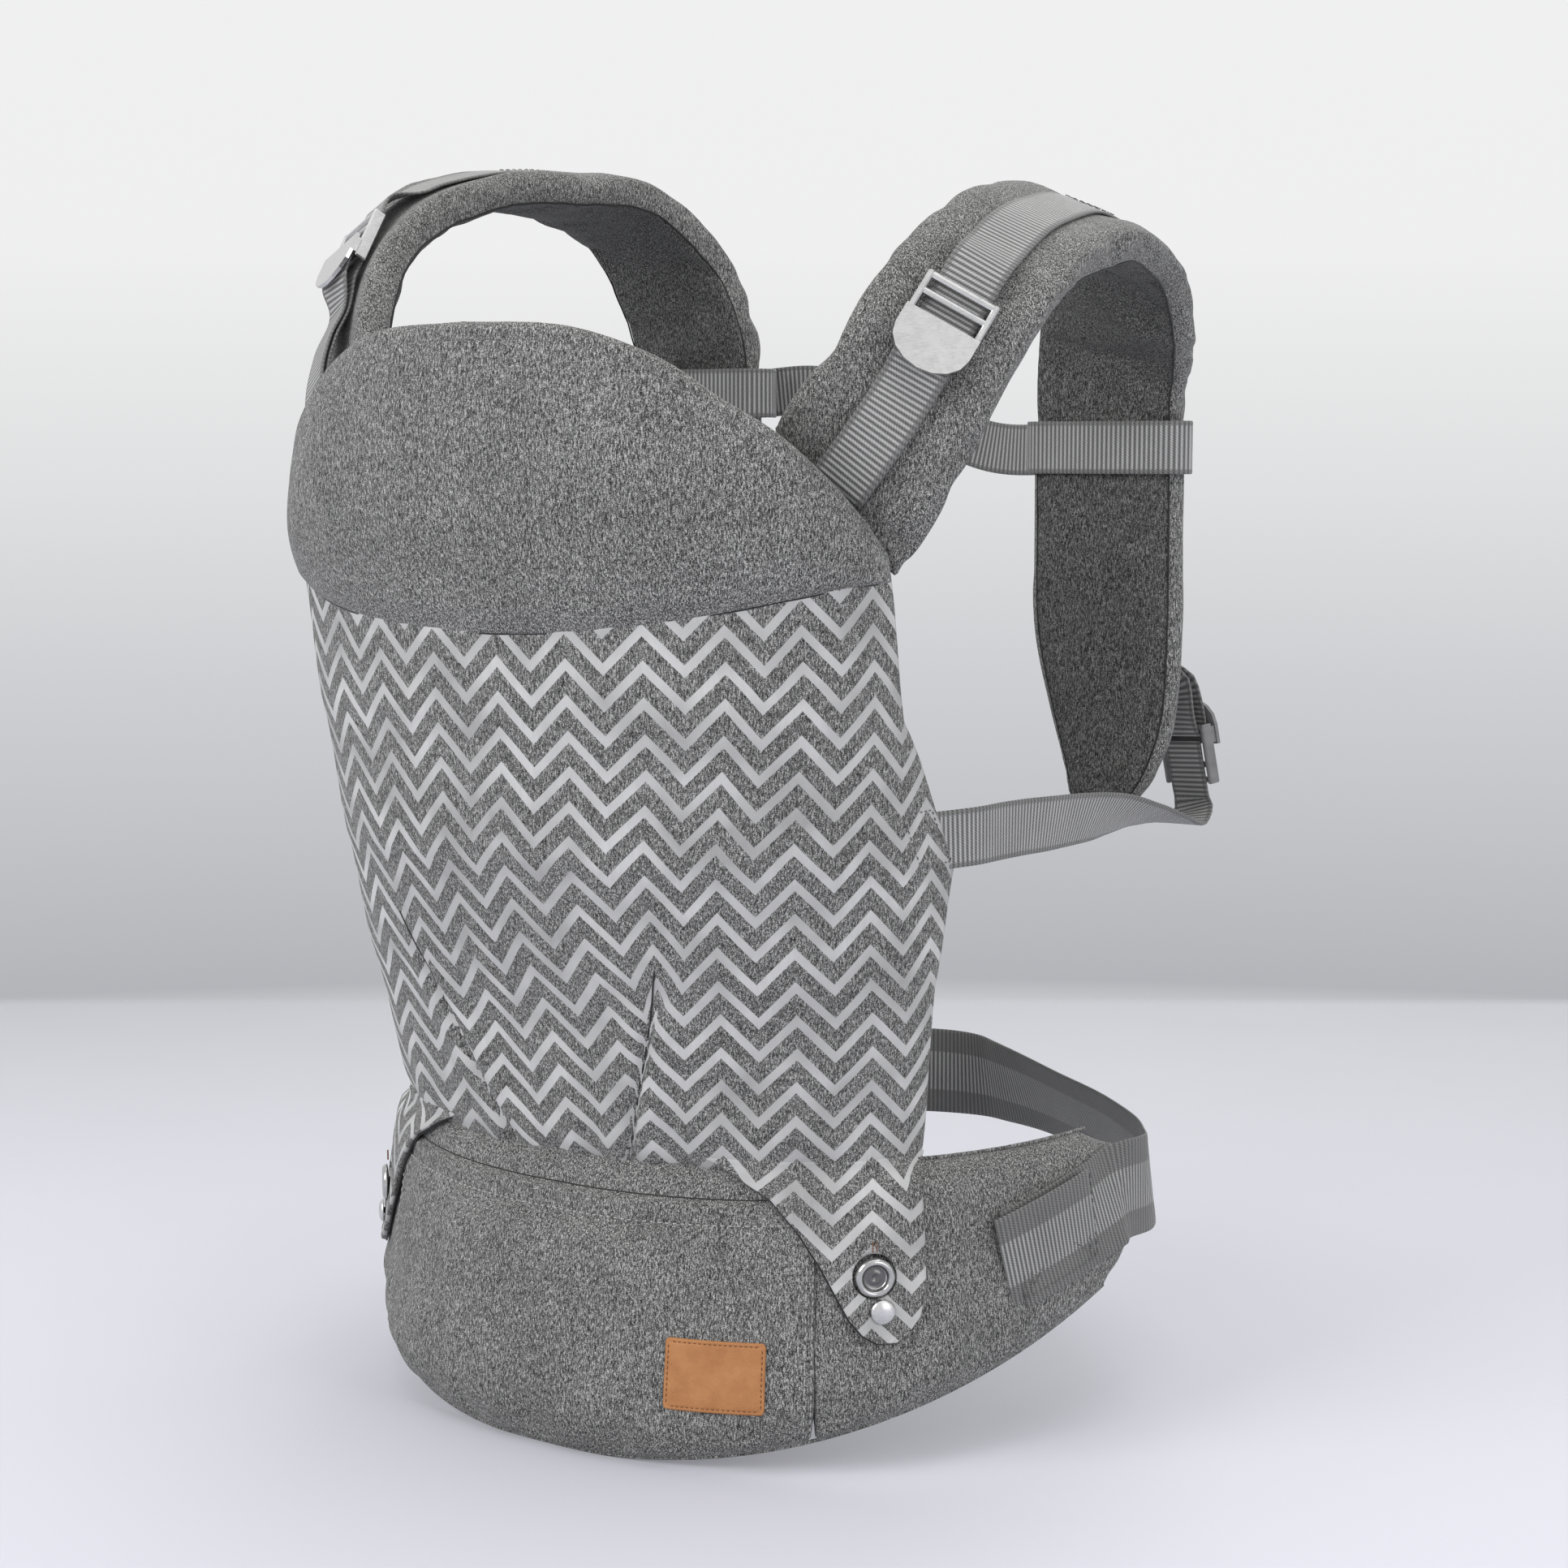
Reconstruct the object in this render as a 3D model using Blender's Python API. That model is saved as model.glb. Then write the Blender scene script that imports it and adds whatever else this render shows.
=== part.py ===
"""A soft baby carrier, buckled as if worn: metres, +Z up, the child's panel towards -Y.

The wearer's torso would stand on the Z axis, inside the waist loop, and the wearer's left is +X.
Every piece is a closed solid of its own. Fabric pieces are slabs laid over shared surfaces: the waist
ring, the panel, the hood and the two edges of each shoulder pad. Webbing is a band along a path.
"""

import math

import bmesh
import bpy
from mathutils import Matrix, Vector

# Driving dimensions
GAP = 0.0004  # between pieces that touch on the real object, at a curved face
SHELL = 0.0011  # a cover's fabric
WEB_THICK = 0.0014

RING_FULLNESS = 2.25  # superellipse exponent of the waist ring: 2 is an ellipse
BELT_TOP = (0.173, 0.179, 0.131)  # half width, depth in front, height of the belt's top edge
BELT_BOTTOM = (0.185, 0.197, 0.0)  # the same for its bottom edge, at the front
BELT_RISE = 0.068  # how far the bottom edge climbs to the belt's ends
BELT_THICK = 0.016
BELT_SEAM = math.radians(37)  # where the front section meets the wings
BELT_END = math.radians(90)

PANEL_ROWS = [  # height, half width, y of the edge, y of the front, fullness
    (0.134, 0.140, -0.110, -0.183, 2.0),
    (0.208, 0.149, -0.115, -0.203, 2.2),
    (0.262, 0.155, -0.109, -0.221, 2.3),
    (0.323, 0.151, -0.1435, -0.231, 2.2),
    (0.380, 0.1535, -0.1570, -0.236, 2.1),
    (0.400, 0.1535, -0.1580, -0.238, 2.1),
]
PANEL_BOTTOM = 0.1345
PANEL_TOP = 0.358  # on the centre line
PANEL_TOP_RISE = 0.022  # more at the two ends
PANEL_THICK = 0.0022

HOOD_RIM = [  # from the centre to the wearer's left
    (0.0, -0.241, 0.487),
    (0.050, -0.238, 0.4845),
    (0.087, -0.227, 0.472),
    (0.111, -0.217, 0.4555),
    (0.129, -0.204, 0.442),
    (0.142, -0.187, 0.424),
    (0.150, -0.172, 0.407),
    (0.1535, -0.159, 0.392),
]
HOOD_BULGE = 0.008

# Shoulder pad: its inner edge, its outer edge, and how much higher each is on the wearer's right
PAD_STATIONS = [
    ((0.100, -0.166, 0.443), (0.1510, -0.1505, 0.381), (0.0, 0.0)),
    ((0.120, -0.162, 0.470), (0.176, -0.137, 0.424), (0.002, 0.008)),
    ((0.134, -0.139, 0.508), (0.193, -0.106, 0.478), (0.007, 0.028)),
    ((0.136, -0.102, 0.532), (0.197, -0.077, 0.504), (0.011, 0.042)),
    ((0.130, -0.057, 0.544), (0.197, -0.045, 0.515), (0.013, 0.046)),
    ((0.120, -0.010, 0.547), (0.196, -0.016, 0.518), (0.015, 0.047)),
    ((0.109, 0.036, 0.541), (0.189, 0.023, 0.508), (0.018, 0.052)),
    ((0.094, 0.068, 0.515), (0.180, 0.054, 0.486), (0.016, 0.062)),
    ((0.084, 0.080, 0.488), (0.170, 0.073, 0.472), (0.010, 0.044)),
    ((0.081, 0.083, 0.456), (0.163, 0.082, 0.454), (0.006, 0.022)),
    ((0.081, 0.083, 0.400), (0.163, 0.083, 0.400), (0.0, 0.0)),
    ((0.082, 0.083, 0.350), (0.163, 0.083, 0.350), (0.0, 0.0)),
    ((0.092, 0.082, 0.310), (0.160, 0.083, 0.308), (0.0, 0.0)),
    ((0.102, 0.080, 0.282), (0.151, 0.081, 0.281), (0.0, 0.0)),
    ((0.107, 0.079, 0.264), (0.139, 0.079, 0.264), (0.0, 0.0)),
]
PAD_THICK = 0.017
LENS = [  # a padded section: across and through, in halves of its width and thickness
    (1.0, 0.0),
    (0.92, 0.62),
    (0.5, 1.0),
    (-0.5, 1.0),
    (-0.92, 0.62),
    (-1.0, 0.0),
    (-0.92, -0.62),
    (-0.5, -1.0),
    (0.5, -1.0),
    (0.92, -0.62),
]

WAIST_WEB = 0.045
STRAP_WEB = 0.025

collection = bpy.data.collections.new("soft_baby_carrier")
cutters = bpy.data.collections.new("cutters")
materials = {}


# ---- Small tools


def unit(vector):
    return Vector(vector).normalized()


def material(name, colour, roughness, metallic=0.0):
    if name not in materials:
        made = bpy.data.materials.new(name)
        made.use_nodes = True
        shader = made.node_tree.nodes["Principled BSDF"]
        shader.inputs["Base Color"].default_value = (*colour, 1.0)
        shader.inputs["Roughness"].default_value = roughness
        shader.inputs["Metallic"].default_value = metallic
        materials[name] = made
    return materials[name]


FABRIC = ("grey_melange_fabric", (0.19, 0.19, 0.185), 0.9)
PRINT = ("chevron_fabric", (0.26, 0.26, 0.255), 0.8)
LINING = ("lining_fabric", (0.05, 0.05, 0.05), 0.9)
FOAM = ("foam", (0.6, 0.6, 0.55), 1.0)
WEBBING = ("grey_webbing", (0.35, 0.35, 0.35), 0.75)
PLASTIC = ("dark_plastic", (0.07, 0.07, 0.075), 0.45)
STEEL = ("steel", (0.62, 0.62, 0.63), 0.25, 1.0)
LEATHER = ("tan_leather", (0.58, 0.26, 0.09), 0.55)


def add_node(name, mesh, finish, origin=(0, 0, 0)):
    """Adds a mesh that is in world coordinates as a node with its origin at a joint's point."""
    mesh.transform(Matrix.Translation(-Vector(origin)))
    node = bpy.data.objects.new(name, mesh)
    node.location = origin
    mesh.materials.append(material(*finish))
    collection.objects.link(node)
    return node


def mesh_from(name, points, faces):
    mesh = bpy.data.meshes.new(name)
    mesh.from_pydata([tuple(point) for point in points], [], faces)
    work = bmesh.new()
    work.from_mesh(mesh)
    bmesh.ops.recalc_face_normals(work, faces=work.faces)
    work.to_mesh(mesh)
    work.free()
    mesh.shade_smooth()
    mesh.set_sharp_from_angle(angle=math.radians(40))
    return mesh


def ring_faces(first, second, count):
    """Triangles between two rings of vertices that start at these indices.

    Every shell splits its quads along the same diagonal, so nested shells stay parallel.
    """
    faces = []
    for i in range(count):
        near, far = first + (i + 1) % count, second + (i + 1) % count
        faces.append((first + i, near, far))
        faces.append((first + i, far, second + i))
    return faces


def loft(name, rings):
    """A closed solid through rings of points, with a flat cap on each end."""
    count = len(rings[0])
    points = [point for ring in rings for point in ring]
    faces = []
    for row in range(len(rings) - 1):
        faces += ring_faces(row * count, (row + 1) * count, count)
    faces.append(tuple(range(count)))
    faces.append(tuple(range((len(rings) - 1) * count, len(rings) * count)))
    return mesh_from(name, points, faces)


def sleeve(name, outer, inner):
    """A cover that is open where the rings start and closed where they end."""
    count = len(outer[0])
    points = [point for ring in outer + inner for point in ring]
    shift = len(outer) * count
    faces = []
    for row in range(len(outer) - 1):
        faces += ring_faces(row * count, (row + 1) * count, count)
    for row in range(len(inner) - 1):
        faces += ring_faces(shift + row * count, shift + (row + 1) * count, count)
    faces += ring_faces(shift, 0, count)
    faces.append(tuple(range(shift - count, shift)))
    last = shift + len(inner) * count
    faces.append(tuple(range(last - count, last)))
    return mesh_from(name, points, faces)


def slab(name, place, low, high, columns, rows):
    """A sheet over place(u, v, offset), u in -1..1 and v in 0..1, between two offsets."""
    points = []
    for offset in (low, high):
        for row in range(rows + 1):
            for column in range(columns + 1):
                points.append(place(2 * column / columns - 1, row / rows, offset))
    wide = columns + 1
    side = wide * (rows + 1)
    faces = []
    for row in range(rows):
        for column in range(columns):
            start = row * wide + column
            far = start + wide + 1
            for face in ((start, start + 1, far), (start, far, start + wide)):
                faces.append(face)
                faces.append(tuple(side + index for index in reversed(face)))
    border = list(range(wide))
    border += [row * wide + columns for row in range(1, rows + 1)]
    border += [rows * wide + column for column in range(columns - 1, -1, -1)]
    border += [row * wide for row in range(rows - 1, 0, -1)]
    for here, there in zip(border, border[1:] + border[:1]):
        faces.append((here, side + here, side + there, there))
    return mesh_from(name, points, faces)


def smooth(points, steps):
    """A Catmull-Rom curve through points (any sequences of equal length), steps to a span."""
    rows = [Vector(point) for point in points]
    rows = [2 * rows[0] - rows[1], *rows, 2 * rows[-1] - rows[-2]]
    curve = []
    for before, start, end, after in zip(rows, rows[1:], rows[2:], rows[3:]):
        for step in range(steps):
            t = step / steps
            curve.append(
                0.5
                * (
                    2 * start
                    + (end - before) * t
                    + (2 * before - 5 * start + 4 * end - after) * t**2
                    + (3 * start - before - 3 * end + after) * t**3
                )
            )
    curve.append(rows[-2])
    return curve


def blend_rows(rows, at):
    """Rows of numbers read at a fractional index, straight between neighbours."""
    index = min(int(at), len(rows) - 2)
    part = at - index
    return [a + (b - a) * part for a, b in zip(rows[index], rows[index + 1])]


def tangents(points):
    ends = list(zip([points[0], *points[:-1]], [*points[1:], points[-1]]))
    return [unit(after - before) for before, after in ends]


def band(name, points, across, width, thick=WEB_THICK, widths=None):
    """Webbing along points; across holds the direction of its width at each of them."""
    rings = []
    for index, (point, along, side) in enumerate(zip(points, tangents(points), across)):
        side = unit(side - side.dot(along) * along)
        out = along.cross(side)
        half = side * (widths[index] if widths else width) / 2
        lift = out * thick / 2
        rings.append([point + half + lift, point - half + lift, point - half - lift, point + half - lift])
    return loft(name, rings)


def joined(name, shapes):
    """One mesh from overlapping shapes, by Boolean union."""
    base = shapes[0]
    for other in shapes[1:]:
        modifier = base.modifiers.new("join", "BOOLEAN")
        modifier.operation = "UNION"
        modifier.solver = "EXACT"
        modifier.object = other
    return settled(name, base, shapes)


def settled(name, base, used):
    """The evaluated mesh of base, after which every helper is removed."""
    bpy.context.view_layer.update()
    graph = bpy.context.evaluated_depsgraph_get()
    mesh = bpy.data.meshes.new_from_object(base.evaluated_get(graph))
    mesh.name = name
    mesh.transform(base.matrix_world)
    mesh.materials.clear()
    for shape in used:
        bpy.data.objects.remove(shape)
    mesh.shade_smooth()
    mesh.set_sharp_from_angle(angle=math.radians(35))
    return mesh


def helper(mesh, matrix=None):
    shape = bpy.data.objects.new("helper", mesh)
    shape.hide_render = True
    shape.display_type = "WIRE"
    if matrix is not None:
        shape.data.transform(matrix)
    cutters.objects.link(shape)
    return shape


def box_shape(low, high, frame, bevel=0.0):
    """A box between two corners of a local frame (a matrix), with its edges bevelled."""
    work = bmesh.new()
    bmesh.ops.create_cube(work, size=1.0)
    low, high = Vector(low), Vector(high)
    middle = (low + high) / 2
    for vertex in work.verts:
        vertex.co = middle + Vector(c * (b - a) for c, a, b in zip(vertex.co, low, high))
    if bevel:
        bmesh.ops.bevel(
            work,
            geom=work.edges[:],
            offset=bevel,
            segments=1,
            affect="EDGES",
            profile=0.5,
        )
    mesh = bpy.data.meshes.new("box")
    work.to_mesh(mesh)
    work.free()
    return helper(mesh, frame)


def rod_shape(start, end, radius, frame, sides=12):
    """A cylinder between two points of a local frame."""
    start, end = Vector(start), Vector(end)
    work = bmesh.new()
    bmesh.ops.create_cone(
        work,
        cap_ends=True,
        segments=sides,
        radius1=radius,
        radius2=radius,
        depth=(end - start).length,
    )
    mesh = bpy.data.meshes.new("rod")
    work.to_mesh(mesh)
    work.free()
    turn = (end - start).to_track_quat("Z", "Y").to_matrix().to_4x4()
    return helper(mesh, frame @ Matrix.Translation((start + end) / 2) @ turn)


def plate_shape(outline, low, high, frame):
    """A flat plate: an outline of (u, v) points, from low to high through the local n."""
    count = len(outline)
    points = [Vector((u, v, n)) for n in (low, high) for u, v in outline]
    faces = ring_faces(0, count, count)
    faces.append(tuple(range(count)))
    faces.append(tuple(range(count, 2 * count)))
    return helper(mesh_from("plate", points, faces), frame)


def cut(base, cutter):
    modifier = base.modifiers.new("cut", "BOOLEAN")
    modifier.operation = "DIFFERENCE"
    modifier.solver = "EXACT"
    modifier.object = cutter


def local_frame(origin, along, out):
    """A matrix whose x runs along a strap, y across it and z outward from the wearer."""
    x = unit(along)
    z = unit(Vector(out) - Vector(out).dot(x) * x)
    y = z.cross(x)
    return Matrix.Translation(origin) @ Matrix((x, y, z)).transposed().to_4x4()


# ---- Shared surfaces


def superellipse(angle, half_width, depth, fullness):
    """The point of a half ring at this angle from the front, as x and y."""
    power = 2 / fullness
    sine, cosine = math.sin(angle), max(math.cos(angle), 0.0)
    return math.copysign(half_width * abs(sine) ** power, sine), -depth * cosine**power


def belt_edge(angle, edge, height):
    x, y = superellipse(angle, edge[0], edge[1], RING_FULLNESS)
    return Vector((x, y, height))


def belt_frame(angle):
    """Top edge, bottom edge and outward direction of the belt's middle surface."""
    top = belt_edge(angle, BELT_TOP, BELT_TOP[2])
    low = belt_edge(angle, BELT_BOTTOM, BELT_BOTTOM[2] + BELT_RISE * (1 - math.cos(angle)))
    step = 0.01
    ahead = belt_edge(min(angle + step, BELT_END), BELT_TOP, BELT_TOP[2])
    behind = belt_edge(max(angle - step, -BELT_END), BELT_TOP, BELT_TOP[2])
    out = unit((ahead - behind).cross(top - low))
    return top, low, out if out.dot(Vector((top.x, top.y, 0))) > 0 else -out


def belt_point(angle, down, offset):
    """A point of the waist ring: down runs from 0 at the top edge to 1 at the bottom edge."""
    top, low, out = belt_frame(angle)
    return top.lerp(low, down) + out * offset


def belt_ring(angle, inset, shrink=1.0):
    top, low, out = belt_frame(angle)
    middle, half = (top + low) / 2, (top - low) / 2 * shrink
    width = half.length - inset
    thick = BELT_THICK / 2 - inset
    return [middle + unit(half) * a * width + out * b * thick for a, b in LENS]


def panel_section(height):
    """Half width, edge y, front y and fullness of the panel at this height."""
    rows = PANEL_ROWS
    for index in range(len(rows) - 2):
        if height < rows[index + 1][0]:
            break
    low, high = rows[index], rows[index + 1]
    part = (height - low[0]) / (high[0] - low[0])
    part = part + 0.35 * part * (1 - part) * (1 - 2 * part)
    return [a + (b - a) * part for a, b in zip(low[1:], high[1:])]


def panel_surface(u, v):
    angle = u * math.pi / 2
    top = PANEL_TOP + PANEL_TOP_RISE * math.sin(angle) ** 2
    height = PANEL_BOTTOM + (top - PANEL_BOTTOM) * v
    half_width, edge, front, fullness = panel_section(height)
    x, y = superellipse(angle, half_width, edge - front, fullness)
    return Vector((x, edge + y, height))


def surface_normal(surface, u, v, step=0.02):
    a, b = max(u - step, -1), min(u + step, 1)
    c, d = max(v - step, 0), min(v + step, 1)
    return unit((surface(b, v) - surface(a, v)).cross(surface(u, d) - surface(u, c)))


def panel_point(u, v, offset):
    return panel_surface(u, v) + surface_normal(panel_surface, u, v) * offset


HOOD_CURVE = smooth(HOOD_RIM, 4)


def hood_surface(u, v):
    """The hood from the panel's top seam (v = 0) to its rim (v = 1)."""
    base = panel_surface(u, 1.0) + Vector((0, 0, 0.0012))
    rim = Vector(blend_rows(HOOD_CURVE, abs(u) ** 0.9 * (len(HOOD_CURVE) - 1)))
    if u < 0:
        rim.x = -rim.x
    swell = unit((base.x * 0.6, base.y + 0.03, 0)) * HOOD_BULGE * (1 - abs(u) ** 4)
    return base.lerp(rim, v) + swell * math.sin(math.pi * v)


def hood_point(u, v, offset):
    spot = hood_surface(u, v)
    return spot + unit((spot.x * 0.6, spot.y + 0.03, 0)) * offset


def pad_rows(side):
    """Stations of a shoulder pad as (inner edge, outer edge); side is 1 for the wearer's left."""
    rows = []
    for inner, outer, lifts in PAD_STATIONS:
        row = []
        for (x, y, z), lift in zip((inner, outer), lifts):
            row += [side * x, y, z if side > 0 else z + lift]
        rows.append(row)
    return rows


class Pad:
    """The middle surface of one shoulder pad, and the frames along it."""

    def __init__(self, side):
        self.side = side
        self.rows = pad_rows(side)
        self.last = len(self.rows) - 1

    def edges(self, at):
        at = min(max(at, 0.0), self.last)
        index = min(int(at), self.last - 1)
        padded = [self.rows[0], *self.rows, self.rows[-1]]
        a, b, c, d = padded[index : index + 4]
        t = at - index
        row = [
            0.5 * (2 * q + (r - p) * t + (2 * p - 5 * q + 4 * r - s) * t**2 + (3 * q - p - 3 * r + s) * t**3)
            for p, q, r, s in zip(a, b, c, d)
        ]
        return Vector(row[:3]), Vector(row[3:])

    def frame(self, at):
        """Middle point, direction of the width (inner to outer), outward normal, half width."""
        inner, outer = self.edges(at)
        before, after = self.edges(at - 0.1), self.edges(at + 0.1)
        along = unit(after[0] + after[1] - before[0] - before[1])
        across = unit(outer - inner)
        out = unit(along.cross(across)) * -self.side
        return (inner + outer) / 2, across, out, (outer - inner).length / 2

    def along(self, at):
        before, after = self.edges(at - 0.1), self.edges(at + 0.1)
        return unit(after[0] + after[1] - before[0] - before[1])

    def ring(self, at, inset):
        middle, across, out, half = self.frame(at)
        width, thick = half - inset, PAD_THICK / 2 - inset
        return [middle + across * a * width + out * b * thick for a, b in LENS]


# ---- Panel, hood and flaps


def build_panel():
    half = PANEL_THICK / 2
    outer = slab("panel_outer", panel_point, GAP * 0.7, half, 18, 10)
    add_node("panel_outer", outer, PRINT)
    lining = slab("panel_lining", panel_point, -half, -GAP * 0.7, 18, 10)
    add_node("panel_lining", lining, LINING)
    outer = slab("head_support_outer", hood_point, GAP / 2, 0.0035, 18, 5)
    add_node("head_support_outer", outer, FABRIC)
    lining = slab("head_support_lining", hood_point, -0.0015, -GAP / 2, 18, 5)
    add_node("head_support_lining", lining, LINING)


FLAP_THICK = 0.0026
FLAP_LEFT = [  # height, angle on the waist ring in degrees, of the flap's two edges
    (0.1330, 20.0, 51.5),
    (0.1275, 24.5, 51.6),
    (0.1170, 30.5, 51.8),
    (0.1030, 34.5, 52.0),
    (0.0890, 37.5, 52.1),
    (0.0760, 39.8, 52.1),
    (0.0660, 41.6, 51.3),
    (0.0595, 43.4, 49.6),
    (0.0560, 45.4, 47.8),
]
FLAP_HINGE = (0.1335, 37.0)  # height, and angle on the ring
BUTTON_PLACE = (0.0845, 44.9)
RIVET_PLACE = (0.0698, 46.0)
BUTTON_RADIUS = 0.0087
BUTTON_HOLE = 0.0096


def belt_down(angle, height):
    """The share of the way down the belt at which a ring angle reaches this height."""
    top, low, _ = belt_frame(angle)
    return (top.z - height) / (top.z - low.z)


def flap_gap(height):
    """How far the flap's inner face stands off the belt's middle surface."""
    down = min(max((BELT_TOP[2] - height) / 0.02, 0.0), 1.0)
    return 0.0045 + (BELT_THICK / 2 + 0.0017 - 0.0045) * math.sin(down * math.pi / 2)


def flap_place(height, angle, offset):
    return belt_point(angle, belt_down(angle, height), flap_gap(height) + offset)


def flap_point(u, v, offset):
    height, start, end = blend_rows(FLAP_LEFT, v * (len(FLAP_LEFT) - 1))
    angle = math.radians(start + (end - start) * (u + 1) / 2)
    return flap_place(height, angle, offset)


def ring_spot(place, offset):
    """Point and outward direction over the belt at (height, degrees)."""
    height, degrees = place
    angle = math.radians(degrees)
    point = flap_place(height, angle, offset)
    return point, belt_frame(angle)[2]


def turned(name, profile, frame, sides):
    """A solid of revolution about the local n: profile is (radius, n) from the axis to the axis."""
    points = [Vector((0, 0, profile[0][1]))]
    for radius, n in profile[1:-1]:
        for step in range(sides):
            turn = 2 * math.pi * step / sides
            points.append(Vector((radius * math.cos(turn), radius * math.sin(turn), n)))
    points.append(Vector((0, 0, profile[-1][1])))
    faces = [(0, 1 + (i + 1) % sides, 1 + i) for i in range(sides)]
    for row in range(len(profile) - 3):
        faces += ring_faces(1 + row * sides, 1 + (row + 1) * sides, sides)
    last, start = len(points) - 1, 1 + (len(profile) - 3) * sides
    faces += [(last, start + i, start + (i + 1) % sides) for i in range(sides)]
    mesh = mesh_from(name, points, faces)
    mesh.transform(frame)
    return mesh


def build_flaps():
    """The two flaps, their rivets and the buttons that they close on."""
    for side, word in ((1, "left"), (-1, "right")):
        flip = Matrix.Diagonal((side, 1, 1, 1))
        hinge, out = ring_spot(FLAP_HINGE, FLAP_THICK / 2)
        hinge.x *= side
        name = "flap_" + word
        flap = helper(slab(name, flap_point, 0.0, FLAP_THICK, 7, 10))
        button, out = ring_spot(BUTTON_PLACE, 0.0)
        spot = local_frame(button, (0, 0, 1), out)
        hole = rod_shape((0, 0, -0.006), (0, 0, 0.008), BUTTON_HOLE, spot, 20)
        cut(flap, hole)
        rivet, rivet_out = ring_spot(RIVET_PLACE, 0.0)
        rivet_spot = local_frame(rivet, (0, 0, 1), rivet_out)
        post = rod_shape((0, 0, -0.006), (0, 0, 0.008), 0.0015 + GAP, rivet_spot, 12)
        cut(flap, post)
        mesh = settled(name, flap, [flap, hole, post])
        add_flipped(name, mesh, flip, PRINT, hinge)

        profile = [
            (0, 0.0030),
            (0.0022, 0.0030),
            (0.0042, 0.0042),
            (0.0064, 0.0056),
            (0.0080, 0.0051),
            (BUTTON_RADIUS, 0.0038),
            (0.0083, 0.0030),
            (0.0022, 0.0024),
            (0.0022, -0.0015),
            (0, -0.0015),
        ]
        mesh = turned("seat_button_" + word, profile[::-1], spot, 24)
        add_flipped("seat_button_" + word, mesh, flip, STEEL)

        top = FLAP_THICK + 2 * GAP
        profile = [
            (0, top + 0.0021),
            (0.0022, top + 0.0019),
            (0.0041, top + 0.0012),
            (0.0054, top),
            (0.0015, top),
            (0.0015, -GAP - 0.0002),
            (0, -GAP - 0.0002),
        ]
        mesh = turned("flap_rivet_" + word, profile[::-1], rivet_spot, 16)
        add_flipped("flap_rivet_" + word, mesh, flip, STEEL, hinge)


def add_flipped(name, mesh, flip, finish, origin=(0, 0, 0)):
    """Adds a mesh built for the wearer's left, mirrored when flip says so."""
    mesh.transform(flip)
    if flip[0][0] < 0:
        mesh.flip_normals()
    return add_node(name, mesh, finish, origin)


# ---- Waist belt


def build_belt():
    sections = {
        "front": (-BELT_SEAM + 0.001, BELT_SEAM - 0.001, 12),
        "left": (BELT_SEAM + 0.001, BELT_END, 9),
        "right": (-BELT_SEAM - 0.001, -BELT_END, 9),
    }
    skin = SHELL + 1.5 * GAP
    for word, (start, end, rows) in sections.items():
        outer, inner, foam = [], [], []
        for row in range(rows + 1):
            part = row / rows
            rounding = 1.0
            if word != "front":
                rounding = 1 - 0.35 * max(part - 0.86, 0) / 0.14
            inside = min(part, 1 - 0.1 / rows)
            core = min(max(part, 0.08 / rows), 1 - 0.22 / rows)
            outer.append(belt_ring(start + (end - start) * part, 0.0, rounding))
            inner.append(belt_ring(start + (end - start) * inside, SHELL, rounding))
            foam.append(belt_ring(start + (end - start) * core, skin, rounding))
        add_node("belt_cover_" + word, sleeve("belt_cover_" + word, outer, inner), FABRIC)
        add_node("belt_foam_" + word, loft("belt_foam_" + word, foam), FOAM)


LABEL_SIZE = (0.046, 0.0305)
LABEL_PLACE = (0.0415, 23.8)  # height and angle of its middle
LABEL_THICK = 0.0013


def build_label():
    """The leather tag, a slab that follows the belt's outer face."""
    height, degrees = LABEL_PLACE
    turn = LABEL_SIZE[0] / 2 / 0.196
    lens_height = LABEL_SIZE[1] / 2

    def place(u, v, offset):
        angle = math.radians(degrees) + u * turn
        level = height + (2 * v - 1) * lens_height
        down = belt_down(angle, level)
        swell = belt_swell(down)
        return belt_point(angle, down, swell + GAP + offset)

    mesh = slab("belt_label", place, 0.0, LABEL_THICK, 6, 4)
    add_node("belt_label", mesh, LEATHER)


def belt_swell(down):
    """How far the belt's outer face stands off its middle surface, this far down."""
    a = abs(1 - 2 * down)
    half = BELT_THICK / 2
    corners = [(0.0, 1.0), *reversed(LENS[:3])]
    for (a0, b0), (a1, b1) in zip(corners, corners[1:]):
        if a <= a1:
            return half * (b0 + (b1 - b0) * (a - a0) / (a1 - a0))
    return 0.0


# Waist webbing: where it leaves the belt's wings and how it runs behind the wearer
WAIST_PATCH = math.radians(66)
WAIST_CENTRE = (0.52, 0.44)  # how far down the wing its middle runs, at the patch and at the end
BUCKLE_MIDDLE = Vector((-0.067, 0.1010, 0.106))  # the waist buckle's mouth
BUCKLE_ALONG = unit((0.915, 0.403, 0.0))  # towards the plug's webbing
BUCKLE_OUT = unit((-0.403, 0.915, 0.0))
BACK_LEFT = [  # the band's middle line from the left wing, with the lean of its width
    (0.1850, 0.016, 0.1015, 0.14),
    (0.1730, 0.034, 0.1030, 0.22),
    (0.1570, 0.051, 0.1045, 0.32),
    (0.1310, 0.074, 0.1055, 0.40),
    (0.0980, 0.0970, 0.1060, 0.42),
    (0.0600, 0.1220, 0.1060, 0.34),
    (0.0230, 0.1400, 0.1060, 0.14),
]
BACK_RIGHT = [
    (-0.1850, 0.014, 0.1015, 0.10),
    (-0.1720, 0.036, 0.1040, 0.05),
    (-0.1530, 0.0560, 0.1060, 0.0),
]
WAIST_STRAIGHT = 0.068  # the webbing is straight this far from the buckle's mouth


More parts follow.
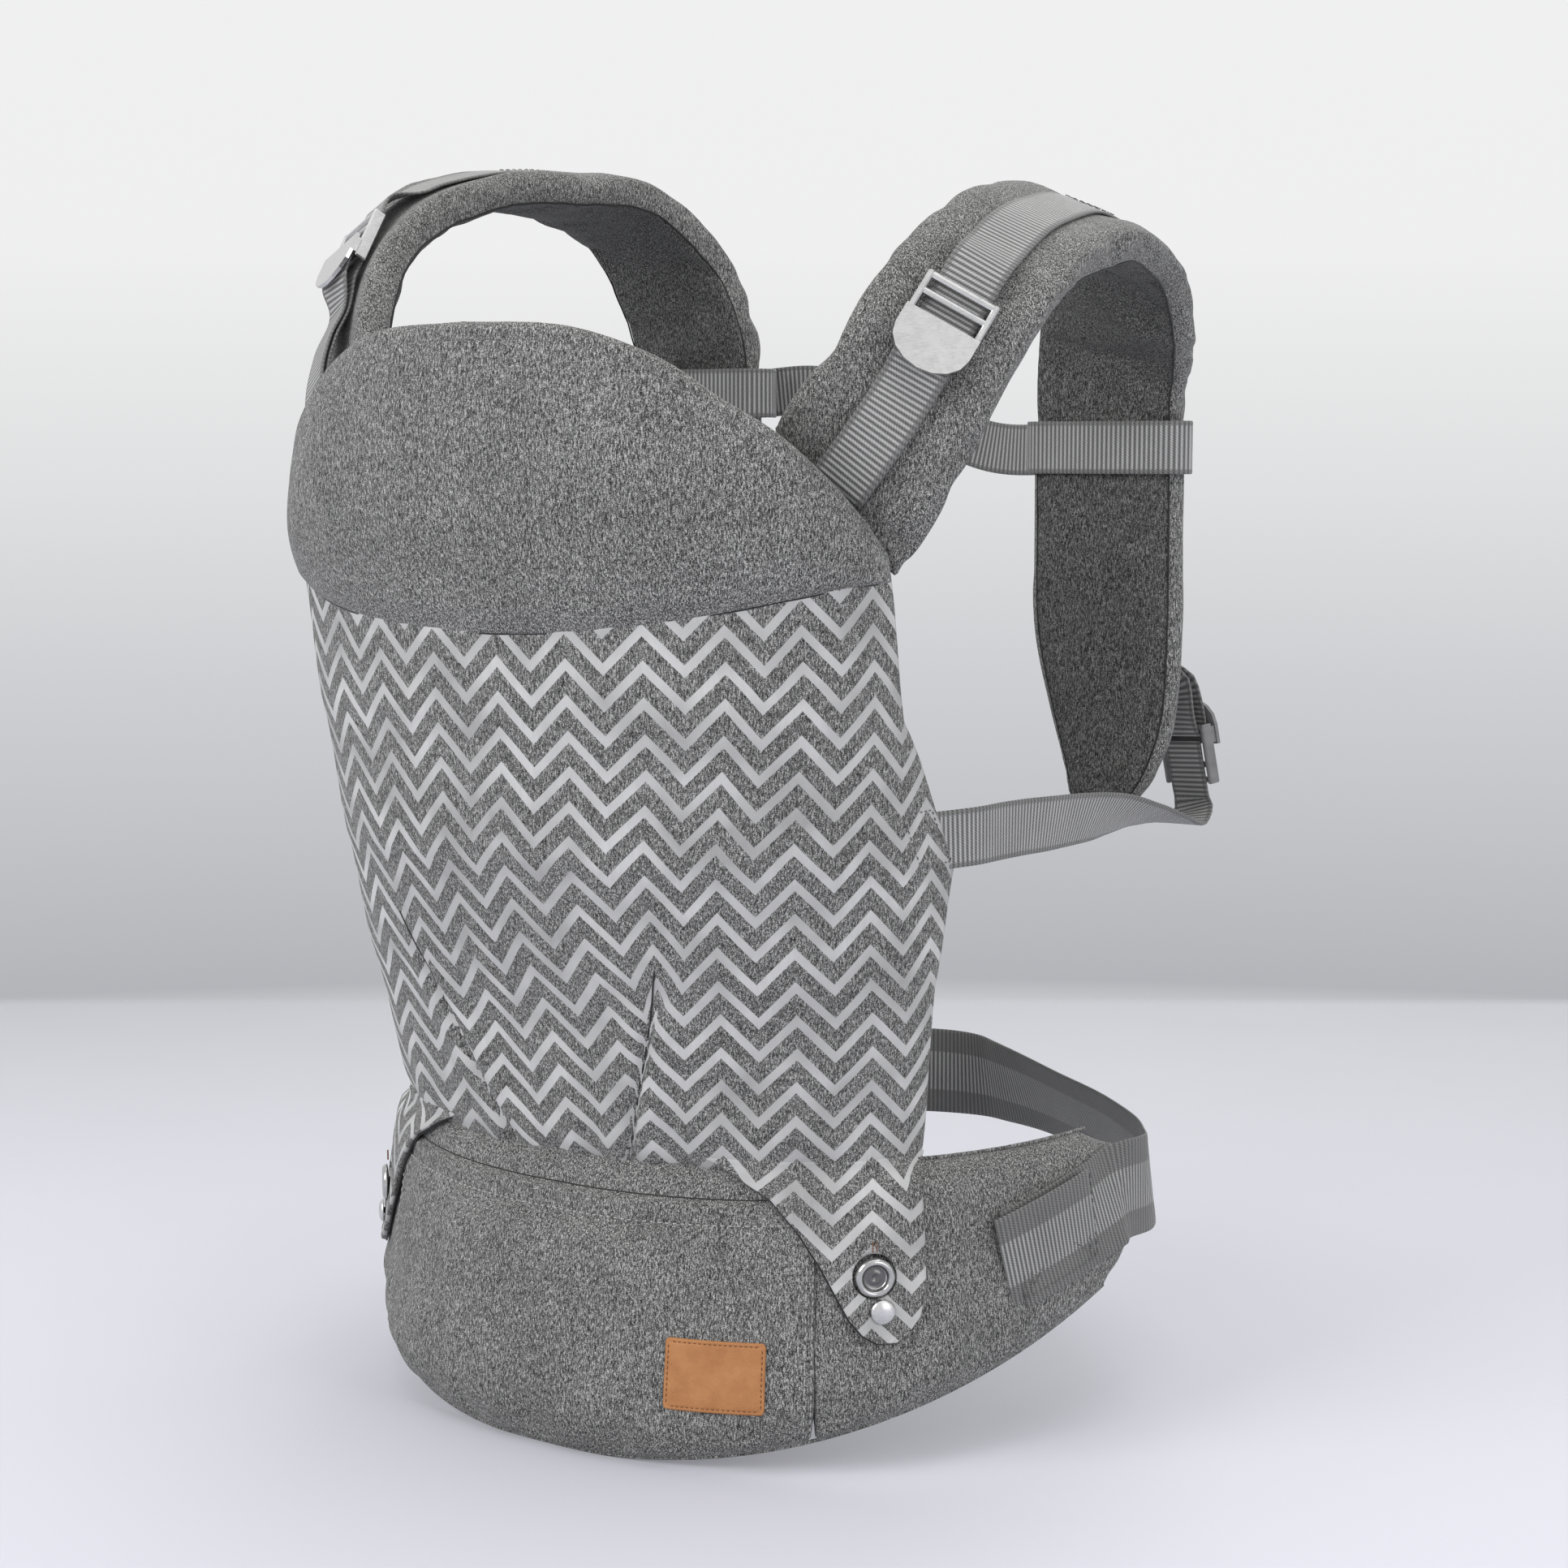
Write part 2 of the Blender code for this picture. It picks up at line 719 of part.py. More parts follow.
def wing_path(side):
    """Webbing along a wing's outer face, from its patch to the belt's end."""
    points, across = [], []
    for step in range(7):
        angle = WAIST_PATCH + (BELT_END - WAIST_PATCH) * step / 6
        offset = BELT_THICK / 2 + GAP + WEB_THICK / 2
        top, low, _ = belt_frame(angle)
        down = WAIST_CENTRE[0] + (WAIST_CENTRE[1] - WAIST_CENTRE[0]) * step / 6
        point = belt_point(angle, down, offset)
        up = top - low
        points.append(Vector((side * point.x, point.y, point.z)))
        across.append(Vector((side * up.x, up.y, up.z)))
    return points, across


def build_waist_webbing():
    frame = local_frame(BUCKLE_MIDDLE, BUCKLE_ALONG, BUCKLE_OUT)
    lane = WEB_LANE * WAIST_SCALE
    points, across = wing_path(1)
    bend = smooth(BACK_LEFT, 3)
    points += [Vector(row[:3]) for row in bend]
    across += [Vector((-0.35 * row[3], -row[3], 1.0)) for row in bend]
    for distance in (WAIST_STRAIGHT, 0.03, 0.006):
        points.append(frame @ Vector((distance, 0, lane)))
        across.append(Vector((0, 0, 1)))
    mesh = band("waist_webbing_left", points, across, WAIST_WEB)
    add_node("waist_webbing_left", mesh, WEBBING)

    points, across = wing_path(-1)
    bar = SOCKET_BAR * WAIST_SCALE
    bend = smooth(BACK_RIGHT, 3)
    points += [Vector(row[:3]) for row in bend]
    across += [Vector((0.35 * row[3], -row[3], 1.0)) for row in bend]
    turn = loop_points((bar, 0.0), 0.0026, 0.014, -1)
    points += [frame @ Vector((u, 0, n)) for u, n in turn]
    across += [Vector((0, 0, 1))] * len(turn)
    mesh = band("waist_webbing_right", points, across, WAIST_WEB)
    add_node("waist_webbing_right", mesh, WEBBING)


def loop_points(centre, radius, legs, way):
    """A U round a bar seen from its end: outer leg, half turn, inner leg; way is the legs' side."""
    u, n = centre
    points = [(u + way * legs, n + radius)]
    for step in range(7):
        turn = math.pi * step / 6
        points.append((u - way * radius * math.sin(turn), n + radius * math.cos(turn)))
    points.append((u + way * legs, n - radius))
    return points


# ---- Side-release buckle, for a strap 45 mm wide and, scaled, for one of 25 mm

WEB_LANE = 0.0098  # height of the plug's webbing over the buckle's middle, before scaling
SOCKET_BAR = -0.0560
WAIST_SCALE = 1.0
CHEST_SCALE = 0.56


def build_buckle(kind, frame, scale):
    """Socket, plug and two release tabs. u = 0 is the socket's mouth, and the plug is at +u."""

    def size(*values):
        return tuple(value * scale for value in values)

    def box(low, high, bevel=0.0):
        return box_shape(size(*low), size(*high), frame, bevel * scale)

    base = box((-0.0450, -0.0290, -0.0065), (0, 0.0290, 0.0065), 0.0022)
    cave = box((-0.0420, -0.0265, -0.0042), (0.004, 0.0265, 0.0042))
    window = box((-0.0340, -0.032, -0.0042), (-0.0140, 0.032, 0.0042))
    for cutter in (cave, window):
        cut(base, cutter)
    shapes = [helper(settled("socket", base, [base, cave, window]))]
    for way in (-1, 1):
        low, high = sorted((way * 0.0245, way * 0.0282))
        shapes.append(box((-0.0585, low, -0.0024), (-0.0430, high, 0.0024), 0.0006))
    start, end = size(SOCKET_BAR, -0.0255, 0), size(SOCKET_BAR, 0.0255, 0)
    shapes.append(rod_shape(start, end, 0.0015 * scale, frame, 10))
    add_node(kind + "_buckle_socket", joined(kind + "_buckle_socket", shapes), PLASTIC)

    origin = frame @ Vector((0, 0, 0))
    rear = box((0.0010, -0.0290, -0.0060), (0.0200, 0.0290, 0.0130), 0.0018)
    lane = box((-0.004, -0.0238, WEB_LANE - 0.0016), (0.026, 0.0238, WEB_LANE + 0.0016))
    front = box((-0.004, -0.032, 0.0066), (0.0065, 0.032, 0.0140))
    hollow = box((0.0065, -0.0225, -0.0075), (0.0145, 0.0225, -0.0012))
    cut(rear, lane)
    cut(rear, front)
    cut(rear, hollow)
    mesh_rear = settled("rear", rear, [rear, lane, front, hollow])
    shapes = [helper(mesh_rear)]
    shapes.append(box((-0.0380, -0.0060, -0.0030), (0.0025, 0.0060, 0.0030), 0.0008))
    for way in (-1, 1):
        low, high = sorted((way * 0.0135, way * 0.0165))
        shapes.append(box((-0.0100, low, -0.0028), (0.0025, high, 0.0028)))
    mesh = joined(kind + "_buckle_plug", shapes)
    add_node(kind + "_buckle_plug", mesh, PLASTIC, origin)

    for way, word in ((-1, "upper"), (1, "lower")):
        outline = [
            (-0.0108, 0.0135),
            (-0.0108, 0.0172),
            (-0.0150, 0.0255),
            (-0.0330, 0.0255),
            (-0.0380, 0.0200),
            (-0.0380, 0.0150),
            (-0.0250, 0.0130),
        ]
        points = [(u * scale, way * v * scale) for u, v in outline]
        tab = plate_shape(points, -0.0036 * scale, 0.0036 * scale, frame)
        name = f"{kind}_buckle_tab_{word}"
        mesh = settled(name, tab, [tab])
        add_node(name, mesh, PLASTIC, frame @ Vector(size(-0.0108, way * 0.015, 0)))


# ---- Shoulder straps


def build_straps():
    for side, word in ((1, "left"), (-1, "right")):
        pad = Pad(side)
        outer, inner, foam = [], [], []
        rows = 2 * pad.last
        for row in range(rows + 1):
            at = pad.last * row / rows
            outer.append(pad.ring(at, 0.0))
            inner.append(pad.ring(min(at, pad.last - 0.09), SHELL))
            foam.append(pad.ring(min(max(at, 0.05), pad.last - 0.22), SHELL + 1.5 * GAP))
        name = "shoulder_pad_cover_" + word
        add_node(name, sleeve(name, outer, inner), FABRIC)
        name = "shoulder_pad_foam_" + word
        add_node(name, loft(name, foam), FOAM)
        build_shoulder_adjuster(pad, word)
        build_lower_adjuster(pad, word)


LOCK_AT = {1: 1.72, -1: 2.25}  # station of each pad under its steel lock
CROWN_AT = 5.6  # station where the upper webbing is sewn down
LOCK_LANE = 0.0034  # the straight webbing's height over the pad's outer face, at the lock
LOOP_RADIUS = 0.0026
LOOP_BULGE = {1: 0.0, -1: 0.008}  # how far the slack webbing under each lock bows out


def lock_frame(pad):
    middle, across, out, _ = pad.frame(LOCK_AT[pad.side])
    along = pad.along(LOCK_AT[pad.side])
    return local_frame(middle + out * PAD_THICK / 2, along, out)


def ladder_lock(name, frame, finish, lane):
    """A frame of two rails with three bars and a rounded lift tab.

    u runs towards the straight webbing, which passes under the bars at +u and over the one at
    u = 0; the looped webbing holds the bar at -u, and the tab lies over it.
    """
    wide = 0.0165
    rail_low, rail_high = lane - 0.0008, lane + 0.0052
    shapes = []
    for way in (-1, 1):
        low, high = sorted((way * wide, way * (wide - 0.0026)))
        shapes.append(box_shape((-0.0125, low, rail_low), (0.0165, high, rail_high), frame, 0.0006))
    bars = [(0.0150, lane + 0.0034), (0.0075, lane + 0.0034), (-0.0098, lane + 0.0022)]
    for u, n in bars:
        shapes.append(rod_shape((u, -wide + 0.001, n), (u, wide - 0.001, n), 0.0016, frame))
    reach, brim = 0.0245, wide + 0.0004
    outline = [(-0.002, -brim), (-0.002, brim)]
    for step in range(9):
        turn = math.pi * step / 8
        outline.append((-0.0115 - (reach - 0.0115) * math.sin(turn), brim * math.cos(turn)))
    shapes.append(plate_shape(outline, lane + 0.0068, lane + 0.0086, frame))
    for way in (-1, 1):
        low, high = sorted((way * (wide - 0.0004), way * (wide - 0.0021)))
        shapes.append(box_shape((-0.0110, low, lane + 0.0030), (-0.0030, high, lane + 0.0078), frame))
    mesh = joined(name, shapes)
    add_node(name, mesh, finish, frame.translation)


def build_shoulder_adjuster(pad, word):
    frame = lock_frame(pad)
    lane = LOCK_LANE
    ladder_lock("shoulder_adjuster_" + word, frame, STEEL, lane)

    points = [frame @ Vector((u, 0, lane)) for u in (-0.0045, 0.006, 0.017, 0.030)]
    across = [frame.to_3x3() @ Vector((0, 1, 0))] * 4
    steps = 11
    start = LOCK_AT[pad.side] + 0.95
    for step in range(steps + 1):
        at = start + (CROWN_AT - start) * step / steps
        middle, side, out, _ = pad.frame(at)
        lift = PAD_THICK / 2 + GAP + WEB_THICK / 2
        lift += 0.0012 * max(1 - step / 4, 0)
        points.append(middle + out * lift)
        across.append(side)
    across = aligned(across)
    name = "shoulder_webbing_upper_" + word
    add_node(name, band(name, points, across, STRAP_WEB), WEBBING)

    bar = (-0.0098, lane + 0.0022)
    turn = loop_points(bar, LOOP_RADIUS, 0.010, -1)
    width = frame.to_3x3() @ Vector((0, 1, 0))
    seam, directions = [], []
    end = LOCK_AT[pad.side] - 0.5
    for step in range(6):
        middle, side, out, _ = pad.frame(0.3 + (end - 0.3) * step / 5)
        lift = PAD_THICK / 2 + 3 * GAP + WEB_THICK / 2
        lift += LOOP_BULGE[pad.side] * math.sin(math.pi * step / 5)
        seam.append((middle + out * lift, out))
        directions.append(side)
    points = [spot + out * 0.0024 for spot, out in seam]
    points += [frame @ Vector((u, 0, n)) for u, n in turn]
    points += [spot for spot, _ in seam[::-1]]
    across = aligned([*directions, *[width] * len(turn), *directions[::-1]])
    name = "shoulder_webbing_lower_" + word
    add_node(name, band(name, points, across, STRAP_WEB), WEBBING)


def aligned(directions):
    """The same directions, each turned to agree with the one before it."""
    fixed = [Vector(directions[0])]
    for direction in directions[1:]:
        fixed.append(Vector(direction) if fixed[-1].dot(direction) > 0 else -Vector(direction))
    return fixed


LOWER_LOCK = Vector((0.1530, 0.1065, 0.290))
LOWER_UP = unit((-0.13, -0.12, 1.0))
LOWER_OUT = unit((0.34, 0.92, 0.20))
LOWER_FOLD = 0.0011  # half the distance between the short webbing's two layers where it is sewn
LOWER_ROOT = 11.2  # station of the pad where the short webbing is sewn on its back
SIDE_HEIGHT = 0.2710  # of the side webbing where it leaves the panel
SIDE_ROUTE = [  # from the panel's edge to under the pad: place, and direction of the width
    ((0.1595, -0.104, 0.2715), (0.0, 0.0, 1.0)),
    ((0.1610, -0.075, 0.2715), (0.0, 0.0, 1.0)),
    ((0.1625, -0.035, 0.2705), (0.15, 0.0, 1.0)),
    ((0.1620, 0.010, 0.2685), (0.45, 0.0, 0.9)),
    ((0.1600, 0.050, 0.2640), (0.85, 0.0, 0.5)),
    ((0.1590, 0.080, 0.2590), (1.0, -0.1, 0.15)),
    ((0.1580, 0.099, 0.2570), (1.0, -0.3, 0.0)),
]


def curve_point(start, leaving, end, arriving, reach, t):
    """A point of the curve between two places with the given directions at its ends."""
    first, second = start + leaving * reach / 3, end - arriving * reach / 3
    a, b, c = start.lerp(first, t), first.lerp(second, t), second.lerp(end, t)
    return a.lerp(b, t).lerp(b.lerp(c, t), t)


def build_lower_adjuster(pad, word):
    flip = Vector((pad.side, 1, 1))
    centre, up, out = LOWER_LOCK * flip, LOWER_UP * flip, LOWER_OUT * flip
    frame = local_frame(centre, -up, out)
    lane = 0.0
    ladder_lock("lower_adjuster_" + word, frame, PLASTIC, lane)
    width = frame.to_3x3() @ Vector((0, 1, 0))

    points, across = [], []
    rise = (SIDE_HEIGHT - PANEL_BOTTOM) / (PANEL_TOP + PANEL_TOP_RISE - PANEL_BOTTOM)
    for u in (0.84, 0.92, 0.98):
        spot = panel_point(u, rise, PANEL_THICK / 2 + 5 * GAP + WEB_THICK / 2)
        points.append(Vector((spot.x, spot.y, SIDE_HEIGHT)) * flip)
        across.append(Vector((0, 0, 1)))
    for place, direction in SIDE_ROUTE:
        points.append(Vector(place) * flip)
        across.append(Vector(direction) * flip)
    for u in (0.0265, 0.019, 0.010, 0.003, -0.0045):
        points.append(frame @ Vector((u, 0, lane)))
        across.append(width)
    name = "side_webbing_" + word
    add_node(name, band(name, points, aligned(across), STRAP_WEB), WEBBING)

    middle, side, back, _ = pad.frame(LOWER_ROOT)
    root = middle + side * 0.010 + back * (PAD_THICK / 2 + 2 * GAP + WEB_THICK / 2 + LOWER_FOLD)
    up_pad = Vector((-0.40 * pad.side, 0, 1))
    up_pad = unit(up_pad - up_pad.dot(back) * back)
    leg = frame @ Vector((-0.0098 - 0.0190, 0, lane + 0.0022))
    along, normal = frame.to_3x3() @ Vector((1, 0, 0)), frame.to_3x3() @ Vector((0, 0, 1))
    rows = [(root, back, up_pad.cross(back), LOWER_FOLD)]
    for step in range(6):
        t = step / 6
        spot = curve_point(root - up_pad * 0.010, unit(back * 0.6 - up_pad), leg, along, 0.020, t)
        fold = LOWER_FOLD + (LOOP_RADIUS - LOWER_FOLD) * t
        flat = unit(up_pad.cross(back).lerp(width, t**2))
        rows.append((spot, unit(back.lerp(normal, t)), flat, fold))
    turn = loop_points((-0.0098, lane + 0.0022), LOOP_RADIUS, 0.0190, -1)
    points = [spot + out * fold for spot, out, _, fold in rows]
    points += [frame @ Vector((u, 0, n)) for u, n in turn]
    points += [spot - out * fold for spot, out, _, fold in rows[::-1]]
    flats = [flat for _, _, flat, _ in rows]
    across = aligned([*flats, *[width] * len(turn), *flats[::-1]])
    name = "lower_webbing_" + word
    add_node(name, band(name, points, across, STRAP_WEB), WEBBING)


# ---- Chest strap

CHEST_MOUTH = Vector((-0.018, 0.1010, 0.4540))
CHEST_ALONG = unit((0.96, -0.02, -0.28))
CHEST_OUT = unit((0.02, 1.0, 0.0))
CHEST_LEVEL = {1: 0.4360, -1: 0.4640}  # height of the loop round each pad
LOOP_ROOM = 0.0016  # between the pad and the loop that slides on it
LOOP_SPARE = {1: 0.0, -1: 0.0030}  # more room where the pad bends above the loop


def pad_loop(side):
    """The loop round a pad: from under its own end at the inner edge, round, and over it."""
    room = LOOP_ROOM + WEB_THICK / 2 + LOOP_SPARE[side]
    wide, deep = 0.041 + room, PAD_THICK / 2 + room
    outline = LENS[4:] + LENS[:4]
    points = [Vector((side * (0.122 + a * wide), 0.083 + b * deep, CHEST_LEVEL[side])) for a, b in outline]
    points[-1].y += 0.0024
    return points


def build_chest():
    frame = local_frame(CHEST_MOUTH, CHEST_ALONG, CHEST_OUT)
    build_buckle("chest", frame, CHEST_SCALE)
    up = Vector((0, 0, 1))
    lane = WEB_LANE * CHEST_SCALE

    points = pad_loop(1)
    width = frame.to_3x3() @ Vector((0, 1, 0))
    ends = [frame @ Vector((u, 0, lane)) for u in (0.060, 0.045, 0.020, 0.004)]
    name = "chest_webbing_left"
    across = aligned([*[up] * len(points), *[width] * len(ends)])
    points += ends
    add_node(name, band(name, points, across, STRAP_WEB), WEBBING, CHEST_MOUTH)

    bar = SOCKET_BAR * CHEST_SCALE
    turn = loop_points((bar, 0.0), 0.0020, 0.006, -1)
    points = pad_loop(-1)
    across = aligned([*[up] * len(points), *[width] * len(turn)])
    points += [frame @ Vector((u, 0, n)) for u, n in turn]
    name = "chest_webbing_right"
    add_node(name, band(name, points, across, STRAP_WEB), WEBBING, CHEST_MOUTH)


def main():
    for left_over in list(bpy.data.objects):
        bpy.data.objects.remove(left_over)
    bpy.context.scene.collection.children.link(collection)
    bpy.context.scene.collection.children.link(cutters)
    cutters.hide_render = True
    build_panel()
    build_flaps()
    build_belt()
    build_label()
    waist = local_frame(BUCKLE_MIDDLE, BUCKLE_ALONG, BUCKLE_OUT)
    build_buckle("waist", waist, WAIST_SCALE)
    build_waist_webbing()
    build_straps()
    build_chest()


main()
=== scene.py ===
"""How the soft baby carrier looks: fabric, webbing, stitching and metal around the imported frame.

Metres, +Z up, the wearer's left at +X and the child's panel towards -Y, as in the CAD.
"""

import math

import bmesh
import bpy
from mathutils import Matrix, Vector, noise
from mathutils.bvhtree import BVHTree


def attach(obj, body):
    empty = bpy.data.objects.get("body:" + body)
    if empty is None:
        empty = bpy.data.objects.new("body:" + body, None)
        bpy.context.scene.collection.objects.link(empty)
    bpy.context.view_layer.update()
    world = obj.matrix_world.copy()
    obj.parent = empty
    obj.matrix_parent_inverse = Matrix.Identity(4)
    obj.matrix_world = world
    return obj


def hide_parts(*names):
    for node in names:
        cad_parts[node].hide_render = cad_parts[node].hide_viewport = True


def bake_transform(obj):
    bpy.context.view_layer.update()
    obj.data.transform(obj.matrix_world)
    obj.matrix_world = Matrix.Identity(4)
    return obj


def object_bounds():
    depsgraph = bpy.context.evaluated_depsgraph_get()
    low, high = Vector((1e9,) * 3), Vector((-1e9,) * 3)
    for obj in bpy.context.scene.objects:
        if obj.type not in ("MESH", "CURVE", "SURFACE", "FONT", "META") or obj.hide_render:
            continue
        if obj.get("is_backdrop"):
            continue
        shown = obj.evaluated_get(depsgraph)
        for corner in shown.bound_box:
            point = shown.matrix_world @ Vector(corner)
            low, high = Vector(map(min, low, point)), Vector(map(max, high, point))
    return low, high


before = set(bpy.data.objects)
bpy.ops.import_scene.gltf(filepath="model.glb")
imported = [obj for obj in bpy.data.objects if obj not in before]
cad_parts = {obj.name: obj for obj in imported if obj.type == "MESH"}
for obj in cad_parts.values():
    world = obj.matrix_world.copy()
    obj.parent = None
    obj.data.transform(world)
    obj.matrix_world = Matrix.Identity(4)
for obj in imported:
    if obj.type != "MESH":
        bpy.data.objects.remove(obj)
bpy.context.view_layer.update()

UP = Vector((0, 0, 1))

# Dimensions shared with the CAD
GAP = 0.0004
WEB_THICK = 0.0014
RING_FULLNESS = 2.25
BELT_TOP = (0.173, 0.179, 0.131)
BELT_BOTTOM = (0.185, 0.197, 0.0)
BELT_RISE = 0.068
BELT_THICK = 0.016
BELT_SEAM = math.radians(37)
BELT_END = math.radians(90)
PANEL_ROWS = [  # height, half width, y of the edge, y of the front, fullness
    (0.134, 0.140, -0.110, -0.183, 2.0),
    (0.208, 0.149, -0.115, -0.203, 2.2),
    (0.262, 0.155, -0.109, -0.221, 2.3),
    (0.323, 0.151, -0.1435, -0.231, 2.2),
    (0.380, 0.1535, -0.1570, -0.236, 2.1),
    (0.400, 0.1535, -0.1580, -0.238, 2.1),
]
PANEL_BOTTOM = 0.1345
PANEL_TOP = 0.358  # on the centre line
PANEL_TOP_RISE = 0.022  # more at the two ends
PANEL_THICK = 0.0022
HOOD_RIM = [  # from the centre to the wearer's left
    (0.0, -0.241, 0.487),
    (0.050, -0.238, 0.4845),
    (0.087, -0.227, 0.472),
    (0.111, -0.217, 0.4555),
    (0.129, -0.204, 0.442),
    (0.142, -0.187, 0.424),
    (0.150, -0.172, 0.407),
    (0.1535, -0.159, 0.392),
]
HOOD_BULGE = 0.008
PAD_STATIONS = [
    ((0.100, -0.166, 0.443), (0.1510, -0.1505, 0.381), (0.0, 0.0)),
    ((0.120, -0.162, 0.470), (0.176, -0.137, 0.424), (0.002, 0.008)),
    ((0.134, -0.139, 0.508), (0.193, -0.106, 0.478), (0.007, 0.028)),
    ((0.136, -0.102, 0.532), (0.197, -0.077, 0.504), (0.011, 0.042)),
    ((0.130, -0.057, 0.544), (0.197, -0.045, 0.515), (0.013, 0.046)),
    ((0.120, -0.010, 0.547), (0.196, -0.016, 0.518), (0.015, 0.047)),
    ((0.109, 0.036, 0.541), (0.189, 0.023, 0.508), (0.018, 0.052)),
    ((0.094, 0.068, 0.515), (0.180, 0.054, 0.486), (0.016, 0.062)),
    ((0.084, 0.080, 0.488), (0.170, 0.073, 0.472), (0.010, 0.044)),
    ((0.081, 0.083, 0.456), (0.163, 0.082, 0.454), (0.006, 0.022)),
    ((0.081, 0.083, 0.400), (0.163, 0.083, 0.400), (0.0, 0.0)),
    ((0.082, 0.083, 0.350), (0.163, 0.083, 0.350), (0.0, 0.0)),
    ((0.092, 0.082, 0.310), (0.160, 0.083, 0.308), (0.0, 0.0)),
    ((0.102, 0.080, 0.282), (0.151, 0.081, 0.281), (0.0, 0.0)),
    ((0.107, 0.079, 0.264), (0.139, 0.079, 0.264), (0.0, 0.0)),
]
PAD_THICK = 0.017
LENS = [  # a padded section: across and through, in halves of its width and thickness
    (1.0, 0.0),
    (0.92, 0.62),
    (0.5, 1.0),
    (-0.5, 1.0),
    (-0.92, 0.62),
    (-1.0, 0.0),
    (-0.92, -0.62),
    (-0.5, -1.0),
    (0.5, -1.0),
    (0.92, -0.62),
]
WAIST_WEB = 0.045
STRAP_WEB = 0.025


def unit(vector):
    return Vector(vector).normalized()


def mirrored(vector, side):
    """The same place on the wearer's left (side 1) or right (side -1)."""
    return Vector((side * vector[0], vector[1], vector[2]))


def smooth(points, steps):
    """A Catmull-Rom curve through points (any sequences of equal length), steps to a span."""
    rows = [Vector(point) for point in points]
    rows = [2 * rows[0] - rows[1], *rows, 2 * rows[-1] - rows[-2]]
    curve = []
    for before, start, end, after in zip(rows, rows[1:], rows[2:], rows[3:]):
        for step in range(steps):
            t = step / steps
            curve.append(
                0.5
                * (
                    2 * start
                    + (end - before) * t
                    + (2 * before - 5 * start + 4 * end - after) * t**2
                    + (3 * start - before - 3 * end + after) * t**3
                )
            )
    curve.append(rows[-2])
    return curve


def blend_rows(rows, at):
    """Rows of numbers read at a fractional index, straight between neighbours."""
    index = min(int(at), len(rows) - 2)
    part = at - index
    return [a + (b - a) * part for a, b in zip(rows[index], rows[index + 1])]


def tangents(points):
    ends = list(zip([points[0], *points[:-1]], [*points[1:], points[-1]]))
    return [unit(after - before) for before, after in ends]


def local_frame(origin, along, out):
    """A matrix whose x runs along a strap, y across it and z outward from the wearer."""
    x = unit(along)
    z = unit(Vector(out) - Vector(out).dot(x) * x)
    y = z.cross(x)
    return Matrix.Translation(origin) @ Matrix((x, y, z)).transposed().to_4x4()


def superellipse(angle, half_width, depth, fullness):
    """The point of a half ring at this angle from the front, as x and y."""
    power = 2 / fullness
    sine, cosine = math.sin(angle), max(math.cos(angle), 0.0)
    return math.copysign(half_width * abs(sine) ** power, sine), -depth * cosine**power


def belt_edge(angle, edge, height):
    x, y = superellipse(angle, edge[0], edge[1], RING_FULLNESS)
    return Vector((x, y, height))


def belt_frame(angle):
    """Top edge, bottom edge and outward direction of the belt's middle surface."""
    top = belt_edge(angle, BELT_TOP, BELT_TOP[2])
    low = belt_edge(angle, BELT_BOTTOM, BELT_BOTTOM[2] + BELT_RISE * (1 - math.cos(angle)))
    step = 0.01
    ahead = belt_edge(min(angle + step, BELT_END), BELT_TOP, BELT_TOP[2])
    behind = belt_edge(max(angle - step, -BELT_END), BELT_TOP, BELT_TOP[2])
    out = unit((ahead - behind).cross(top - low))
    return top, low, out if out.dot(Vector((top.x, top.y, 0))) > 0 else -out


def belt_point(angle, down, offset):
    """A point of the waist ring: down runs from 0 at the top edge to 1 at the bottom edge."""
    top, low, out = belt_frame(angle)
    return top.lerp(low, down) + out * offset


def panel_section(height):
    """Half width, edge y, front y and fullness of the panel at this height."""
    rows = PANEL_ROWS
    for index in range(len(rows) - 2):
        if height < rows[index + 1][0]:
            break
    low, high = rows[index], rows[index + 1]
    part = (height - low[0]) / (high[0] - low[0])
    part = part + 0.35 * part * (1 - part) * (1 - 2 * part)
    return [a + (b - a) * part for a, b in zip(low[1:], high[1:])]


def panel_surface(u, v):
    angle = u * math.pi / 2
    top = PANEL_TOP + PANEL_TOP_RISE * math.sin(angle) ** 2
    height = PANEL_BOTTOM + (top - PANEL_BOTTOM) * v
    half_width, edge, front, fullness = panel_section(height)
    x, y = superellipse(angle, half_width, edge - front, fullness)
    return Vector((x, edge + y, height))


def surface_normal(surface, u, v, step=0.02):
    a, b = max(u - step, -1), min(u + step, 1)
    c, d = max(v - step, 0), min(v + step, 1)
    return unit((surface(b, v) - surface(a, v)).cross(surface(u, d) - surface(u, c)))


def panel_point(u, v, offset):
    return panel_surface(u, v) + surface_normal(panel_surface, u, v) * offset


HOOD_CURVE = smooth(HOOD_RIM, 4)


def hood_surface(u, v):
    """The hood from the panel's top seam (v = 0) to its rim (v = 1)."""
    base = panel_surface(u, 1.0) + Vector((0, 0, 0.0012))
    rim = Vector(blend_rows(HOOD_CURVE, abs(u) ** 0.9 * (len(HOOD_CURVE) - 1)))
    if u < 0:
        rim.x = -rim.x
    swell = unit((base.x * 0.6, base.y + 0.03, 0)) * HOOD_BULGE * (1 - abs(u) ** 4)
    return base.lerp(rim, v) + swell * math.sin(math.pi * v)


def pad_rows(side):
    """Stations of a shoulder pad as (inner edge, outer edge); side is 1 for the wearer's left."""
    rows = []
    for inner, outer, lifts in PAD_STATIONS:
        row = []
        for (x, y, z), lift in zip((inner, outer), lifts):
            row += [side * x, y, z if side > 0 else z + lift]
        rows.append(row)
    return rows


